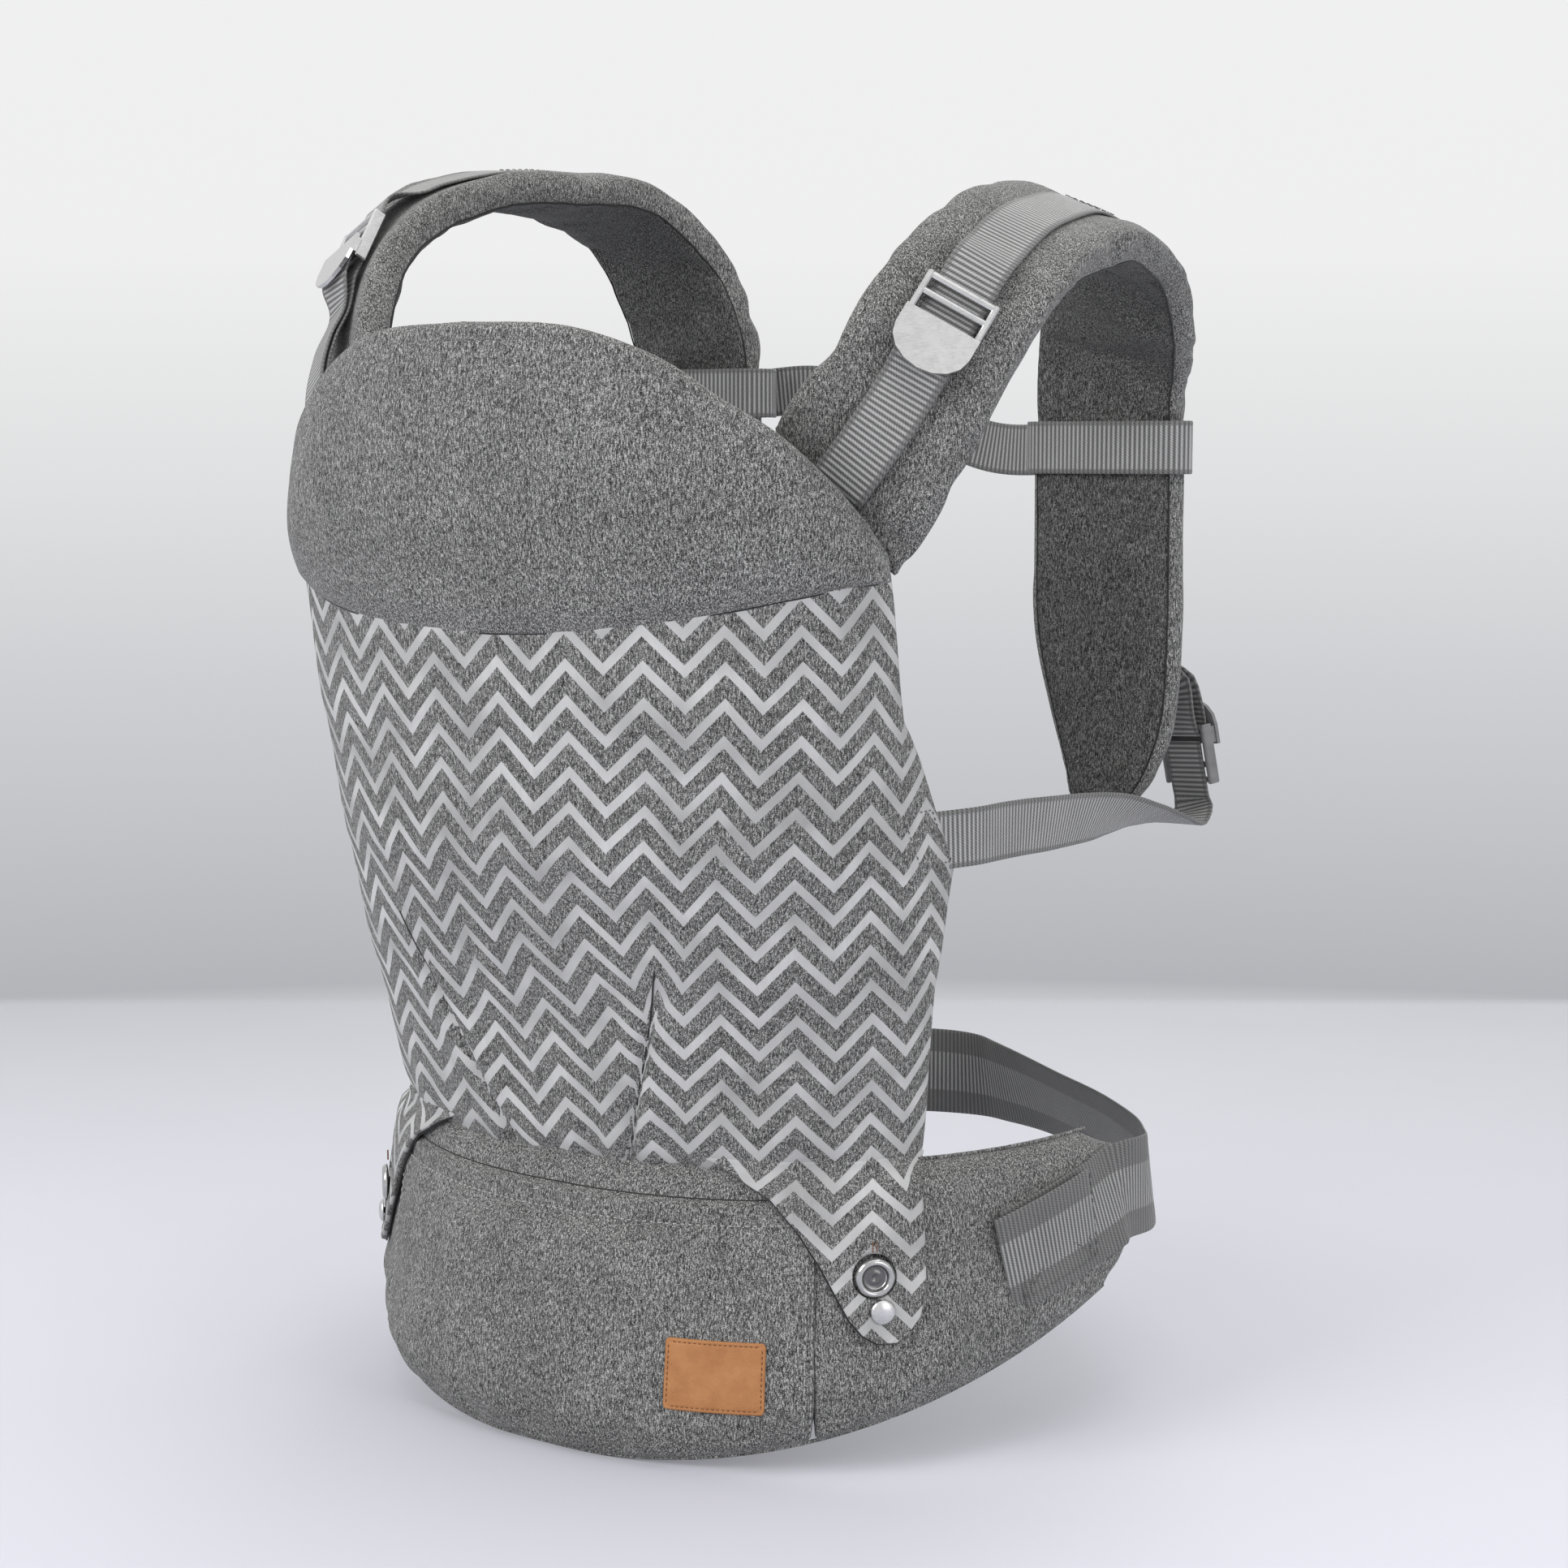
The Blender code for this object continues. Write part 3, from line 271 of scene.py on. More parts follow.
class Pad:
    """The middle surface of one shoulder pad, and the frames along it."""

    def __init__(self, side):
        self.side = side
        self.rows = pad_rows(side)
        self.last = len(self.rows) - 1

    def edges(self, at):
        at = min(max(at, 0.0), self.last)
        index = min(int(at), self.last - 1)
        padded = [self.rows[0], *self.rows, self.rows[-1]]
        a, b, c, d = padded[index : index + 4]
        t = at - index
        row = [
            0.5 * (2 * q + (r - p) * t + (2 * p - 5 * q + 4 * r - s) * t**2 + (3 * q - p - 3 * r + s) * t**3)
            for p, q, r, s in zip(a, b, c, d)
        ]
        return Vector(row[:3]), Vector(row[3:])

    def frame(self, at):
        """Middle point, direction of the width (inner to outer), outward normal, half width."""
        inner, outer = self.edges(at)
        before, after = self.edges(at - 0.1), self.edges(at + 0.1)
        along = unit(after[0] + after[1] - before[0] - before[1])
        across = unit(outer - inner)
        out = unit(along.cross(across)) * -self.side
        return (inner + outer) / 2, across, out, (outer - inner).length / 2

    def along(self, at):
        before, after = self.edges(at - 0.1), self.edges(at + 0.1)
        return unit(after[0] + after[1] - before[0] - before[1])


FLAP_THICK = 0.0026
FLAP_LEFT = [  # height, angle on the waist ring in degrees, of the flap's two edges
    (0.1330, 20.0, 51.5),
    (0.1275, 24.5, 51.6),
    (0.1170, 30.5, 51.8),
    (0.1030, 34.5, 52.0),
    (0.0890, 37.5, 52.1),
    (0.0760, 39.8, 52.1),
    (0.0660, 41.6, 51.3),
    (0.0595, 43.4, 49.6),
    (0.0560, 45.4, 47.8),
]
BUTTON_PLACE = (0.0845, 44.9)
RIVET_PLACE = (0.0698, 46.0)
BUTTON_HOLE = 0.0096


def belt_down(angle, height):
    """The share of the way down the belt at which a ring angle reaches this height."""
    top, low, _ = belt_frame(angle)
    return (top.z - height) / (top.z - low.z)


def flap_gap(height):
    """How far the flap's inner face stands off the belt's middle surface."""
    down = min(max((BELT_TOP[2] - height) / 0.02, 0.0), 1.0)
    return 0.0045 + (BELT_THICK / 2 + 0.0017 - 0.0045) * math.sin(down * math.pi / 2)


def flap_place(height, angle, offset):
    return belt_point(angle, belt_down(angle, height), flap_gap(height) + offset)


def ring_spot(place, offset):
    """Point and outward direction over the belt at (height, degrees)."""
    height, degrees = place
    angle = math.radians(degrees)
    point = flap_place(height, angle, offset)
    return point, belt_frame(angle)[2]


LABEL_SIZE = (0.046, 0.0305)
LABEL_PLACE = (0.0415, 23.8)  # height and angle of its middle
LABEL_THICK = 0.0013


WAIST_PATCH = math.radians(66)
WAIST_CENTRE = (0.52, 0.44)  # how far down the wing its middle runs, at the patch and at the end
BUCKLE_MIDDLE = Vector((-0.067, 0.1010, 0.106))  # the waist buckle's mouth
BUCKLE_ALONG = unit((0.915, 0.403, 0.0))  # towards the plug's webbing
BUCKLE_OUT = unit((-0.403, 0.915, 0.0))
BACK_LEFT = [  # the band's middle line from the left wing, with the lean of its width
    (0.1850, 0.016, 0.1015, 0.14),
    (0.1730, 0.034, 0.1030, 0.22),
    (0.1570, 0.051, 0.1045, 0.32),
    (0.1310, 0.074, 0.1055, 0.40),
    (0.0980, 0.0970, 0.1060, 0.42),
    (0.0600, 0.1220, 0.1060, 0.34),
    (0.0230, 0.1400, 0.1060, 0.14),
]
BACK_RIGHT = [
    (-0.1850, 0.014, 0.1015, 0.10),
    (-0.1720, 0.036, 0.1040, 0.05),
    (-0.1530, 0.0560, 0.1060, 0.0),
]
WAIST_STRAIGHT = 0.068  # the webbing is straight this far from the buckle's mouth


def wing_middle(step):
    """How far down the wing the webbing's middle runs, at step 0 to 6 along it."""
    return WAIST_CENTRE[0] + (WAIST_CENTRE[1] - WAIST_CENTRE[0]) * step / 6


def wing_path(side):
    """Webbing along a wing's outer face, from its patch almost to the belt's end."""
    points, across = [], []
    for step in range(6):
        angle = WAIST_PATCH + (BELT_END - WAIST_PATCH) * step / 6
        offset = BELT_THICK / 2 + GAP + WEB_THICK / 2
        top, low, _ = belt_frame(angle)
        up = top - low
        point = belt_point(angle, wing_middle(step), offset)
        points.append(mirrored(point, side))
        across.append(mirrored(up, side))
    return points, across


def loop_points(centre, radius, legs, way):
    """A U round a bar seen from its end: outer leg, half turn, inner leg; way is the legs' side."""
    u, n = centre
    points = [(u + way * legs, n + radius)]
    for step in range(7):
        turn = math.pi * step / 6
        points.append((u - way * radius * math.sin(turn), n + radius * math.cos(turn)))
    points.append((u + way * legs, n - radius))
    return points


WEB_LANE = 0.0098  # height of the plug's webbing over the waist buckle's middle
SOCKET_BAR = -0.0560
CHEST_SCALE = 0.56  # of the chest buckle to the waist buckle
LOCK_AT = {1: 1.72, -1: 2.25}  # station of each pad under its steel lock
CROWN_AT = 5.6  # station where the upper webbing is sewn down
LOCK_LANE = 0.0034  # the straight webbing's height over the pad's outer face, at the lock
LOOP_RADIUS = 0.0026
LOOP_BULGE = {1: 0.0, -1: 0.008}  # how far the slack webbing under each lock bows out


def lock_frame(pad):
    middle, across, out, _ = pad.frame(LOCK_AT[pad.side])
    along = pad.along(LOCK_AT[pad.side])
    return local_frame(middle + out * PAD_THICK / 2, along, out)


def aligned(directions):
    """The same directions, each turned to agree with the one before it."""
    fixed = [Vector(directions[0])]
    for direction in directions[1:]:
        fixed.append(Vector(direction) if fixed[-1].dot(direction) > 0 else -Vector(direction))
    return fixed


LOWER_LOCK = Vector((0.1530, 0.1065, 0.290))
LOWER_UP = unit((-0.13, -0.12, 1.0))
LOWER_OUT = unit((0.34, 0.92, 0.20))
LOWER_FOLD = 0.0011
LOWER_ROOT = 11.2  # station of the pad where the short webbing is sewn on its back
SIDE_HEIGHT = 0.2710  # of the side webbing where it leaves the panel
SIDE_ROUTE = [  # from the panel's edge to under the pad: place, and direction of the width
    ((0.1595, -0.104, 0.2715), (0.0, 0.0, 1.0)),
    ((0.1610, -0.075, 0.2715), (0.0, 0.0, 1.0)),
    ((0.1625, -0.035, 0.2705), (0.15, 0.0, 1.0)),
    ((0.1620, 0.010, 0.2685), (0.45, 0.0, 0.9)),
    ((0.1600, 0.050, 0.2640), (0.85, 0.0, 0.5)),
    ((0.1590, 0.080, 0.2590), (1.0, -0.1, 0.15)),
    ((0.1580, 0.099, 0.2570), (1.0, -0.3, 0.0)),
]
CHEST_MOUTH = Vector((-0.018, 0.1010, 0.4540))
CHEST_ALONG = unit((0.96, -0.02, -0.28))
CHEST_OUT = unit((0.02, 1.0, 0.0))
CHEST_LEVEL = {1: 0.4360, -1: 0.4640}  # height of the loop round each pad
LOOP_ROOM = 0.0016  # between the pad and the loop that slides on it
LOOP_SPARE = {1: 0.0, -1: 0.0030}  # more room where the pad bends above the loop


def pad_loop(side):
    """The loop round a pad: from under its own end at the inner edge, round, and over it."""
    room = LOOP_ROOM + WEB_THICK / 2 + LOOP_SPARE[side]
    wide, deep = 0.041 + room, PAD_THICK / 2 + room
    outline = LENS[4:] + LENS[:4]
    points = [Vector((side * (0.122 + a * wide), 0.083 + b * deep, CHEST_LEVEL[side])) for a, b in outline]
    points[-1].y += 0.0024
    return points


def curve_point(start, leaving, end, arriving, reach, t):
    """A point of the curve between two places with the given directions at its ends."""
    first, second = start + leaving * reach / 3, end - arriving * reach / 3
    a, b, c = start.lerp(first, t), first.lerp(second, t), second.lerp(end, t)
    return a.lerp(b, t).lerp(b.lerp(c, t), t)


# ---- Meshes


def piece(name, mesh, finish, body):
    """Links a mesh as a piece that rides on a body of the frame."""
    made = bpy.data.objects.new(name, mesh)
    for one in finish if isinstance(finish, (list, tuple)) else [finish]:
        mesh.materials.append(one)
    mesh.shade_smooth()
    bpy.context.scene.collection.objects.link(made)
    if body:
        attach(made, body)
    return made


def mesh_from(name, points, faces, kinds=None, uvs=None):
    mesh = bpy.data.meshes.new(name)
    mesh.from_pydata([tuple(point) for point in points], [], faces)
    if kinds:
        mesh.polygons.foreach_set("material_index", kinds)
    if uvs:
        layer = mesh.uv_layers.new(name="weave")
        for loop in mesh.loops:
            layer.data[loop.index].uv = uvs[loop.vertex_index]
    work = bmesh.new()
    work.from_mesh(mesh)
    bmesh.ops.recalc_face_normals(work, faces=work.faces)
    work.to_mesh(mesh)
    work.free()
    return mesh


def tube(name, rings, uvs=None, kinds=None):
    """A closed skin through rings of points; kinds gives each face round the ring its material."""
    count = len(rings[0])
    points = [point for ring in rings for point in ring]
    faces, marks = [], []
    for row in range(len(rings) - 1):
        for i in range(count):
            j = (i + 1) % count
            a, b = row * count, (row + 1) * count
            faces.append((a + i, a + j, b + j, b + i))
            marks.append(kinds[i] if kinds else 0)
    faces.append(tuple(range(count)))
    faces.append(tuple(range((len(rings) - 1) * count, len(rings) * count)))
    marks += [0, 0]
    flat = [uv for ring in uvs for uv in ring] if uvs else None
    return mesh_from(name, points, faces, marks, flat)


def shell(name, place, low, high, columns, rows, mapping=None, hole=None):
    """A sheet over place(u, v, offset) with rounded edges: its front is material 0, its back 1."""
    wide = columns + 1
    side = wide * (rows + 1)
    points, uvs = [], []
    middle, half = (low + high) / 2, (high - low) / 2
    for way in (-1, 1):
        for row in range(rows + 1):
            for column in range(columns + 1):
                u, v = 2 * column / columns - 1, row / rows
                edge = min(column, columns - column, row, rows - row)
                full = (0.45, 0.9, 1.0)[min(edge, 2)]
                points.append(place(u, v, middle + way * half * full))
                uvs.append(mapping(u, v) if mapping else (u, v))
    faces, kinds = [], []
    for row in range(rows):
        for column in range(columns):
            a = row * wide + column
            face = (a, a + 1, a + wide + 1, a + wide)
            if hole and hole(sum((points[side + i] for i in face), Vector()) / 4):
                continue
            faces += [tuple(side + i for i in face), face[::-1]]
            kinds += [0, 1]
    used = {}
    for face in faces[::2]:
        for a, b in zip(face, face[1:] + face[:1]):
            used[(a, b)] = True
    for a, b in used:
        if (b, a) not in used:
            faces.append((b, a, a - side, b - side))
            kinds.append(0)
    return mesh_from(name, points, faces, kinds, uvs)


def web_ring(point, side, out, width):
    """Section of webbing: rounded edges and a slightly thicker selvedge."""
    steps = [-1, -0.97, -0.9, -0.82, -0.4, 0, 0.4, 0.82, 0.9, 0.97, 1]
    full = [0.35, 0.85, 1.06, 0.96, 0.95, 0.95, 0.95, 0.96, 1.06, 0.85, 0.35]
    front = [point + side * (a * width / 2) + out * (b * WEB_THICK / 2) for a, b in zip(steps, full)]
    back = [point + side * (a * width / 2) - out * (b * WEB_THICK / 2) for a, b in zip(steps, full)]
    return front + back[::-1], steps + steps[::-1]


def webbing(name, points, across, width, body, spacing=0.004, crinkle=0.0, finish=None):
    """Webbing along a path, whose weave is mapped by its length."""
    across = aligned(across)
    rows = [[*point, *side] for point, side in zip(points, across)]
    spans = [(Vector(b[:3]) - Vector(a[:3])).length for a, b in zip(rows, rows[1:])]
    rates = [[(q - p) / span for p, q in zip(a, b)] for a, b, span in zip(rows, rows[1:], spans)]
    slopes = [rates[0]]
    for before, after, s0, s1 in zip(rates, rates[1:], spans, spans[1:]):
        slopes.append([(p * s1 + q * s0) / (s0 + s1) for p, q in zip(before, after)])
    slopes.append(rates[-1])
    fine = []
    for index, span in enumerate(spans):
        count = max(1, round(span / spacing))
        for step in range(count):
            t = step / count
            curve = [2 * t**3 - 3 * t**2 + 1, 3 * t**2 - 2 * t**3]
            curve += [(t**3 - 2 * t**2 + t) * span, (t**3 - t**2) * span]
            parts = zip(rows[index], rows[index + 1], slopes[index], slopes[index + 1])
            fine.append([sum(w * value for w, value in zip(curve, part)) for part in parts])
    fine.append(rows[-1])
    spots = [Vector(row[:3]) for row in fine]
    rings, uvs, run = [], [], 0.0
    for index, (spot, along, row) in enumerate(zip(spots, tangents(spots), fine)):
        side = Vector(row[3:])
        side = unit(side - side.dot(along) * along)
        out = along.cross(side)
        run += (spot - spots[index - 1]).length if index else 0
        lift = crinkle * noise.noise(Vector((run * 60, 3.1, 0.7)))
        ring, shares = web_ring(spot + out * lift, side, out, width)
        rings.append(ring)
        uvs.append([(run, share * width / 2) for share in shares])
    return piece(name, tube(name, rings, uvs), finish or STRAP, body)


def capsule(points, faces, start, end, out, radius):
    """Adds one stitch: a short thread that dives at both ends."""
    along = end - start
    length = along.length
    along = along / length
    side = along.cross(out).normalized()
    first = len(points)
    profile = [(0.0, 0.15, -0.9), (0.18, 0.8, 0.0), (0.5, 1.0, 0.25), (0.82, 0.8, 0.0), (1.0, 0.15, -0.9)]
    for part, size, rise in profile:
        middle = start + along * (length * part) + out * (rise * radius)
        for step in range(6):
            turn = math.pi * step / 3
            points.append(middle + (side * math.cos(turn) + out * math.sin(turn)) * (radius * size))
    for row in range(4):
        for i in range(6):
            j = (i + 1) % 6
            a, b = first + row * 6, first + row * 6 + 6
            faces.append((a + i, a + j, b + j, b + i))
    faces.append(tuple(range(first, first + 6)))
    faces.append(tuple(range(first + 24, first + 30)))


def stitching(name, lines, body, thread, length=0.0024, space=0.0012, radius=0.00026):
    """Stitches along lines of (point, outward direction)."""
    points, faces = [], []
    for line in lines:
        spots = [Vector(spot) for spot, _ in line]
        outs = [out for _, out in line]
        reach = [0.0]
        for a, b in zip(spots, spots[1:]):
            reach.append(reach[-1] + (b - a).length)
        count = max(1, round(reach[-1] / (length + space)))
        pitch = reach[-1] / count

        def read(distance):
            index = 0
            while index < len(reach) - 2 and reach[index + 1] < distance:
                index += 1
            span = max(reach[index + 1] - reach[index], 1e-9)
            part = min(max((distance - reach[index]) / span, 0), 1)
            out = outs[index].lerp(outs[index + 1], part).normalized()
            return spots[index].lerp(spots[index + 1], part), out

        for step in range(count):
            start, out = read(pitch * step + space / 2)
            end, _ = read(pitch * (step + 1) - space / 2)
            if (end - start).length > 0.0003:
                capsule(points, faces, start, end, out, radius)
    return piece(name, mesh_from(name, points, faces), thread, body)


def cord_line(name, line, radius, body, finish):
    """A thin round cord along (point, outward) pairs: piping, or a dark line of painted shade along a seam
    or an edge.
    """
    spots = [spot for spot, _ in line]
    rings = []
    for (spot, out), along in zip(line, tangents(spots)):
        side = along.cross(out).normalized()
        up = side.cross(along)
        rings.append(
            [
                spot + (side * math.cos(math.pi * i / 3) + up * (0.6 * math.sin(math.pi * i / 3))) * radius
                for i in range(6)
            ]
        )
    return piece(name, tube(name, rings), finish, body)


def turned(name, profile, spot, sides=72):
    """A solid of revolution about the local z: profile is (radius, height) from axis to axis."""
    points = [Vector((0, 0, profile[0][1]))]
    for radius, height in profile[1:-1]:
        for step in range(sides):
            turn = 2 * math.pi * step / sides
            points.append(Vector((radius * math.cos(turn), radius * math.sin(turn), height)))
    points.append(Vector((0, 0, profile[-1][1])))
    faces = [(0, 1 + (i + 1) % sides, 1 + i) for i in range(sides)]
    for row in range(len(profile) - 3):
        a, b = 1 + row * sides, 1 + (row + 1) * sides
        faces += [(a + i, a + (i + 1) % sides, b + (i + 1) % sides, b + i) for i in range(sides)]
    last, start = len(points) - 1, 1 + (len(profile) - 3) * sides
    faces += [(last, start + i, start + (i + 1) % sides) for i in range(sides)]
    mesh = mesh_from(name, points, faces)
    mesh.transform(spot)
    return mesh


def flipped(mesh, side):
    if side < 0:
        mesh.transform(Matrix.Diagonal((-1, 1, 1, 1)))
        mesh.flip_normals()
    return mesh


SWELL = {  # how the padded covers take the pressure inside them
    "quality": 6,
    "mass": 0.25,
    "tension_stiffness": 12,
    "compression_stiffness": 12,
    "shear_stiffness": 6,
    "bending_stiffness": 0.4,
    "shrink_min": -0.045,
    "use_pressure": True,
    "uniform_pressure_force": 4.0,
    "vertex_group_mass": "pinned",
}


def inflate(made, pinned, limit):
    """Swells a closed skin by cloth pressure, each point by no more than limit(index) allows."""
    mesh = made.data
    before = [vertex.co.copy() for vertex in mesh.vertices]
    group = made.vertex_groups.new(name="pinned")
    group.add(pinned, 1.0, "REPLACE")
    cloth = made.modifiers.new("swell", "CLOTH")
    for setting, value in SWELL.items():
        setattr(cloth.settings, setting, value)
    cloth.settings.effector_weights.gravity = 0
    cloth.collision_settings.use_collision = False
    cloth.point_cache.frame_start = 1
    cloth.point_cache.frame_end = 20
    scene = bpy.context.scene
    for step in range(1, 21):
        scene.frame_set(step)
    graph = bpy.context.evaluated_depsgraph_get()
    after = [vertex.co.copy() for vertex in made.evaluated_get(graph).data.vertices]
    made.modifiers.remove(cloth)
    made.vertex_groups.remove(group)
    scene.frame_set(1)
    for index, (old, new) in enumerate(zip(before, after)):
        move = new - old
        most = limit(index)
        if move.length > most:
            move = move * (most / move.length)
        mesh.vertices[index].co = old + move


def subdivide(made):
    modifier = made.modifiers.new("smooth", "SUBSURF")
    modifier.levels = modifier.render_levels = 1


def ease(value, low, high):
    part = min(max((value - low) / (high - low), 0.0), 1.0)
    return part * part * (3 - 2 * part)


# ---- Materials


class Finish:
    """A Principled material under construction."""

    def __init__(self, name):
        self.material = bpy.data.materials.new(name)
        self.material.use_nodes = True
        self.tree = self.material.node_tree
        self.shader = self.tree.nodes["Principled BSDF"]
        self.place = self.node("TexCoord").outputs["Object"]

    def node(self, kind, **values):
        made = self.tree.nodes.new("ShaderNode" + kind)
        for name, value in values.items():
            setattr(made, name, value)
        return made

    def put(self, socket, value):
        if isinstance(value, bpy.types.NodeSocket):
            self.tree.links.new(value, socket)
        else:
            socket.default_value = value

    def weave(self):
        node = self.node("UVMap", uv_map="weave")
        split = self.node("SeparateXYZ")
        self.tree.links.new(node.outputs[0], split.inputs[0])
        return split.outputs[0], split.outputs[1]

    def math(self, operation, a, b=0.0, c=0.0):
        node = self.node("Math", operation=operation)
        for socket, value in zip(node.inputs, (a, b, c)):
            self.put(socket, value)
        return node.outputs[0]

    def scaled(self, vector, scale):
        node = self.node("VectorMath", operation="MULTIPLY")
        self.put(node.inputs[0], vector)
        node.inputs[1].default_value = scale
        return node.outputs[0]

    def joined(self, x, y, z=0.0):
        node = self.node("CombineXYZ")
        for socket, value in zip(node.inputs, (x, y, z)):
            self.put(socket, value)
        return node.outputs[0]

    def noise(self, vector, scale=1.0, detail=2.0, rough=0.5):
        node = self.node("TexNoise")
        self.put(node.inputs["Vector"], vector)
        node.inputs["Scale"].default_value = scale
        node.inputs["Detail"].default_value = detail
        node.inputs["Roughness"].default_value = rough
        return node.outputs["Fac"]

    def cloth_noise(self, x, x_scale, y, y_scale):
        """Noise over the cloth's own two directions."""
        spot = self.joined(self.math("MULTIPLY", x, x_scale), self.math("MULTIPLY", y, y_scale))
        return self.noise(spot, 1.0, 2.0)

    def ramp(self, factor, stops):
        node = self.node("ValToRGB")
        self.put(node.inputs[0], factor)
        while len(node.color_ramp.elements) < len(stops):
            node.color_ramp.elements.new(0.5)
        for element, (place, tone) in zip(node.color_ramp.elements, stops):
            element.position = place
            element.color = (*tone, 1.0) if isinstance(tone, tuple) else (tone, tone, tone, 1.0)
        return node.outputs["Color"]

    def shaded(self, colour, share):
        """The colour times a number."""
        return self.mix(1.0, colour, self.joined(share, share, share), "MULTIPLY")

    def mix(self, factor, a, b, kind="MIX"):
        node = self.node("Mix", data_type="RGBA", blend_type=kind)
        for index, value in ((0, factor), (6, a), (7, b)):
            if isinstance(value, tuple) and len(value) == 3:
                value = (*value, 1.0)
            self.put(node.inputs[index], value)
        return node.outputs[2]

    def spread(self, factor, low, high, to_low=0.0, to_high=1.0):
        node = self.node("MapRange", clamp=True)
        self.put(node.inputs[0], factor)
        for socket, value in zip(node.inputs[1:5], (low, high, to_low, to_high)):
            socket.default_value = value
        return node.outputs[0]

    def bump(self, height, distance, strength=1.0, under=None):
        node = self.node("Bump")
        node.inputs["Strength"].default_value = strength
        node.inputs["Distance"].default_value = distance
        self.put(node.inputs["Height"], height)
        if under is not None:
            self.put(node.inputs["Normal"], under)
        return node.outputs[0]

    def done(self, colour, roughness, normal, metallic=0.0, sheen=0.0, specular=0.5, coat=0.0):
        self.put(self.shader.inputs["Base Color"], colour)
        self.put(self.shader.inputs["Roughness"], roughness)
        self.put(self.shader.inputs["Normal"], normal)
        self.shader.inputs["Metallic"].default_value = metallic
        self.shader.inputs["Specular IOR Level"].default_value = specular
        self.shader.inputs["Sheen Weight"].default_value = sheen
        self.shader.inputs["Sheen Roughness"].default_value = 0.4
        self.shader.inputs["Coat Weight"].default_value = coat
        return self.material


def grain(look, tone):
    """Melange yarns: fine light and dark flecks in short upright runs. Gives colour and height."""
    yarn = look.noise(look.scaled(look.place, (1700.0, 1700.0, 430.0)), 1.0, 2.0, 0.7)
    fleck = look.noise(look.scaled(look.place, (2600.0, 2600.0, 2600.0)), 1.0, 1.0, 0.5)
    cloud = look.noise(look.place, 26.0, 3.0, 0.6)
    both = look.math("MULTIPLY_ADD", yarn, 0.52, look.math("MULTIPLY", fleck, 0.48))
    tones = [(0.40, 0.1, 0.098), (0.475, 0.62, 0.605), (0.53, 1.12, 1.1), (0.61, 3.0, 2.91)]
    colour = look.ramp(both, [(at, (tone * k, tone * k, tone * blue)) for at, k, blue in tones])
    return look.shaded(colour, look.spread(cloud, 0.3, 0.7, 0.9, 1.09)), both


def melange(name, tone, sheen=0.12):
    look = Finish(name)
    colour, height = grain(look, tone)
    soft = look.bump(look.noise(look.place, 130.0, 3.0, 0.6), 0.0012, 0.5)
    normal = look.bump(height, 0.0004, 0.8, soft)
    return look.done(colour, look.spread(height, 0.35, 0.65, 0.95, 0.8), normal, sheen=sheen, specular=0.15)


CHEVRON_PITCH = 0.0153
CHEVRON_PERIOD = 0.035
CHEVRON_PHASE = 0.0262  # across, of a lowest point of the zigzag
CHEVRON_DROP = 0.017
CHEVRON_SHARE = 0.37  # of the pitch that the pale band takes


def chevron(name, tone):
    """The zigzag print: smooth pale bands on the melange ground."""
    look = Finish(name)
    across, up = look.weave()
    ground, height = grain(look, tone)
    half = CHEVRON_PERIOD / 2
    wave = look.math("PINGPONG", look.math("ADD", across, 20.5 * CHEVRON_PERIOD - CHEVRON_PHASE), half)
    rise = look.math("MULTIPLY_ADD", wave, CHEVRON_DROP / half, up)
    wobble = look.math("MULTIPLY", look.math("SUBTRACT", height, 0.5), 0.0012)
    rows = look.math("DIVIDE", look.math("ADD", rise, wobble), CHEVRON_PITCH)
    share = look.math("FRACT", look.math("ADD", rows, 20 - CHEVRON_DROP / CHEVRON_PITCH))
    low = look.spread(share, 0.0, 0.022)
    high = look.spread(share, CHEVRON_SHARE - 0.022, CHEVRON_SHARE, 1.0, 0.0)
    band = look.math("MULTIPLY", low, high)
    sheen_streak = look.cloth_noise(across, 500.0, up, 90.0)
    # The pale bands' cloudy tone and long streaks are painted sheen and shade of the satin print
    cloud = look.noise(look.place, 34.0, 2.0, 0.5)
    pale = look.mix(look.spread(cloud, 0.32, 0.68), (0.31, 0.31, 0.31), (0.53, 0.53, 0.53))
    pale = look.mix(look.spread(sheen_streak, 0.3, 0.7, 0.0, 0.35), pale, (0.40, 0.40, 0.40))
    colour = look.mix(band, ground, pale)
    rough = look.math("MULTIPLY_ADD", band, -0.45, 0.9)
    soft = look.bump(look.noise(look.place, 130.0, 3.0, 0.6), 0.0012, 0.45)
    quiet = look.math("MULTIPLY", height, look.math("MULTIPLY_ADD", band, -0.85, 1.0))
    normal = look.bump(quiet, 0.0004, 0.8, soft)
    normal = look.bump(band, 0.00025, 0.6, normal)
    return look.done(colour, rough, normal, sheen=0.1, specular=0.3)


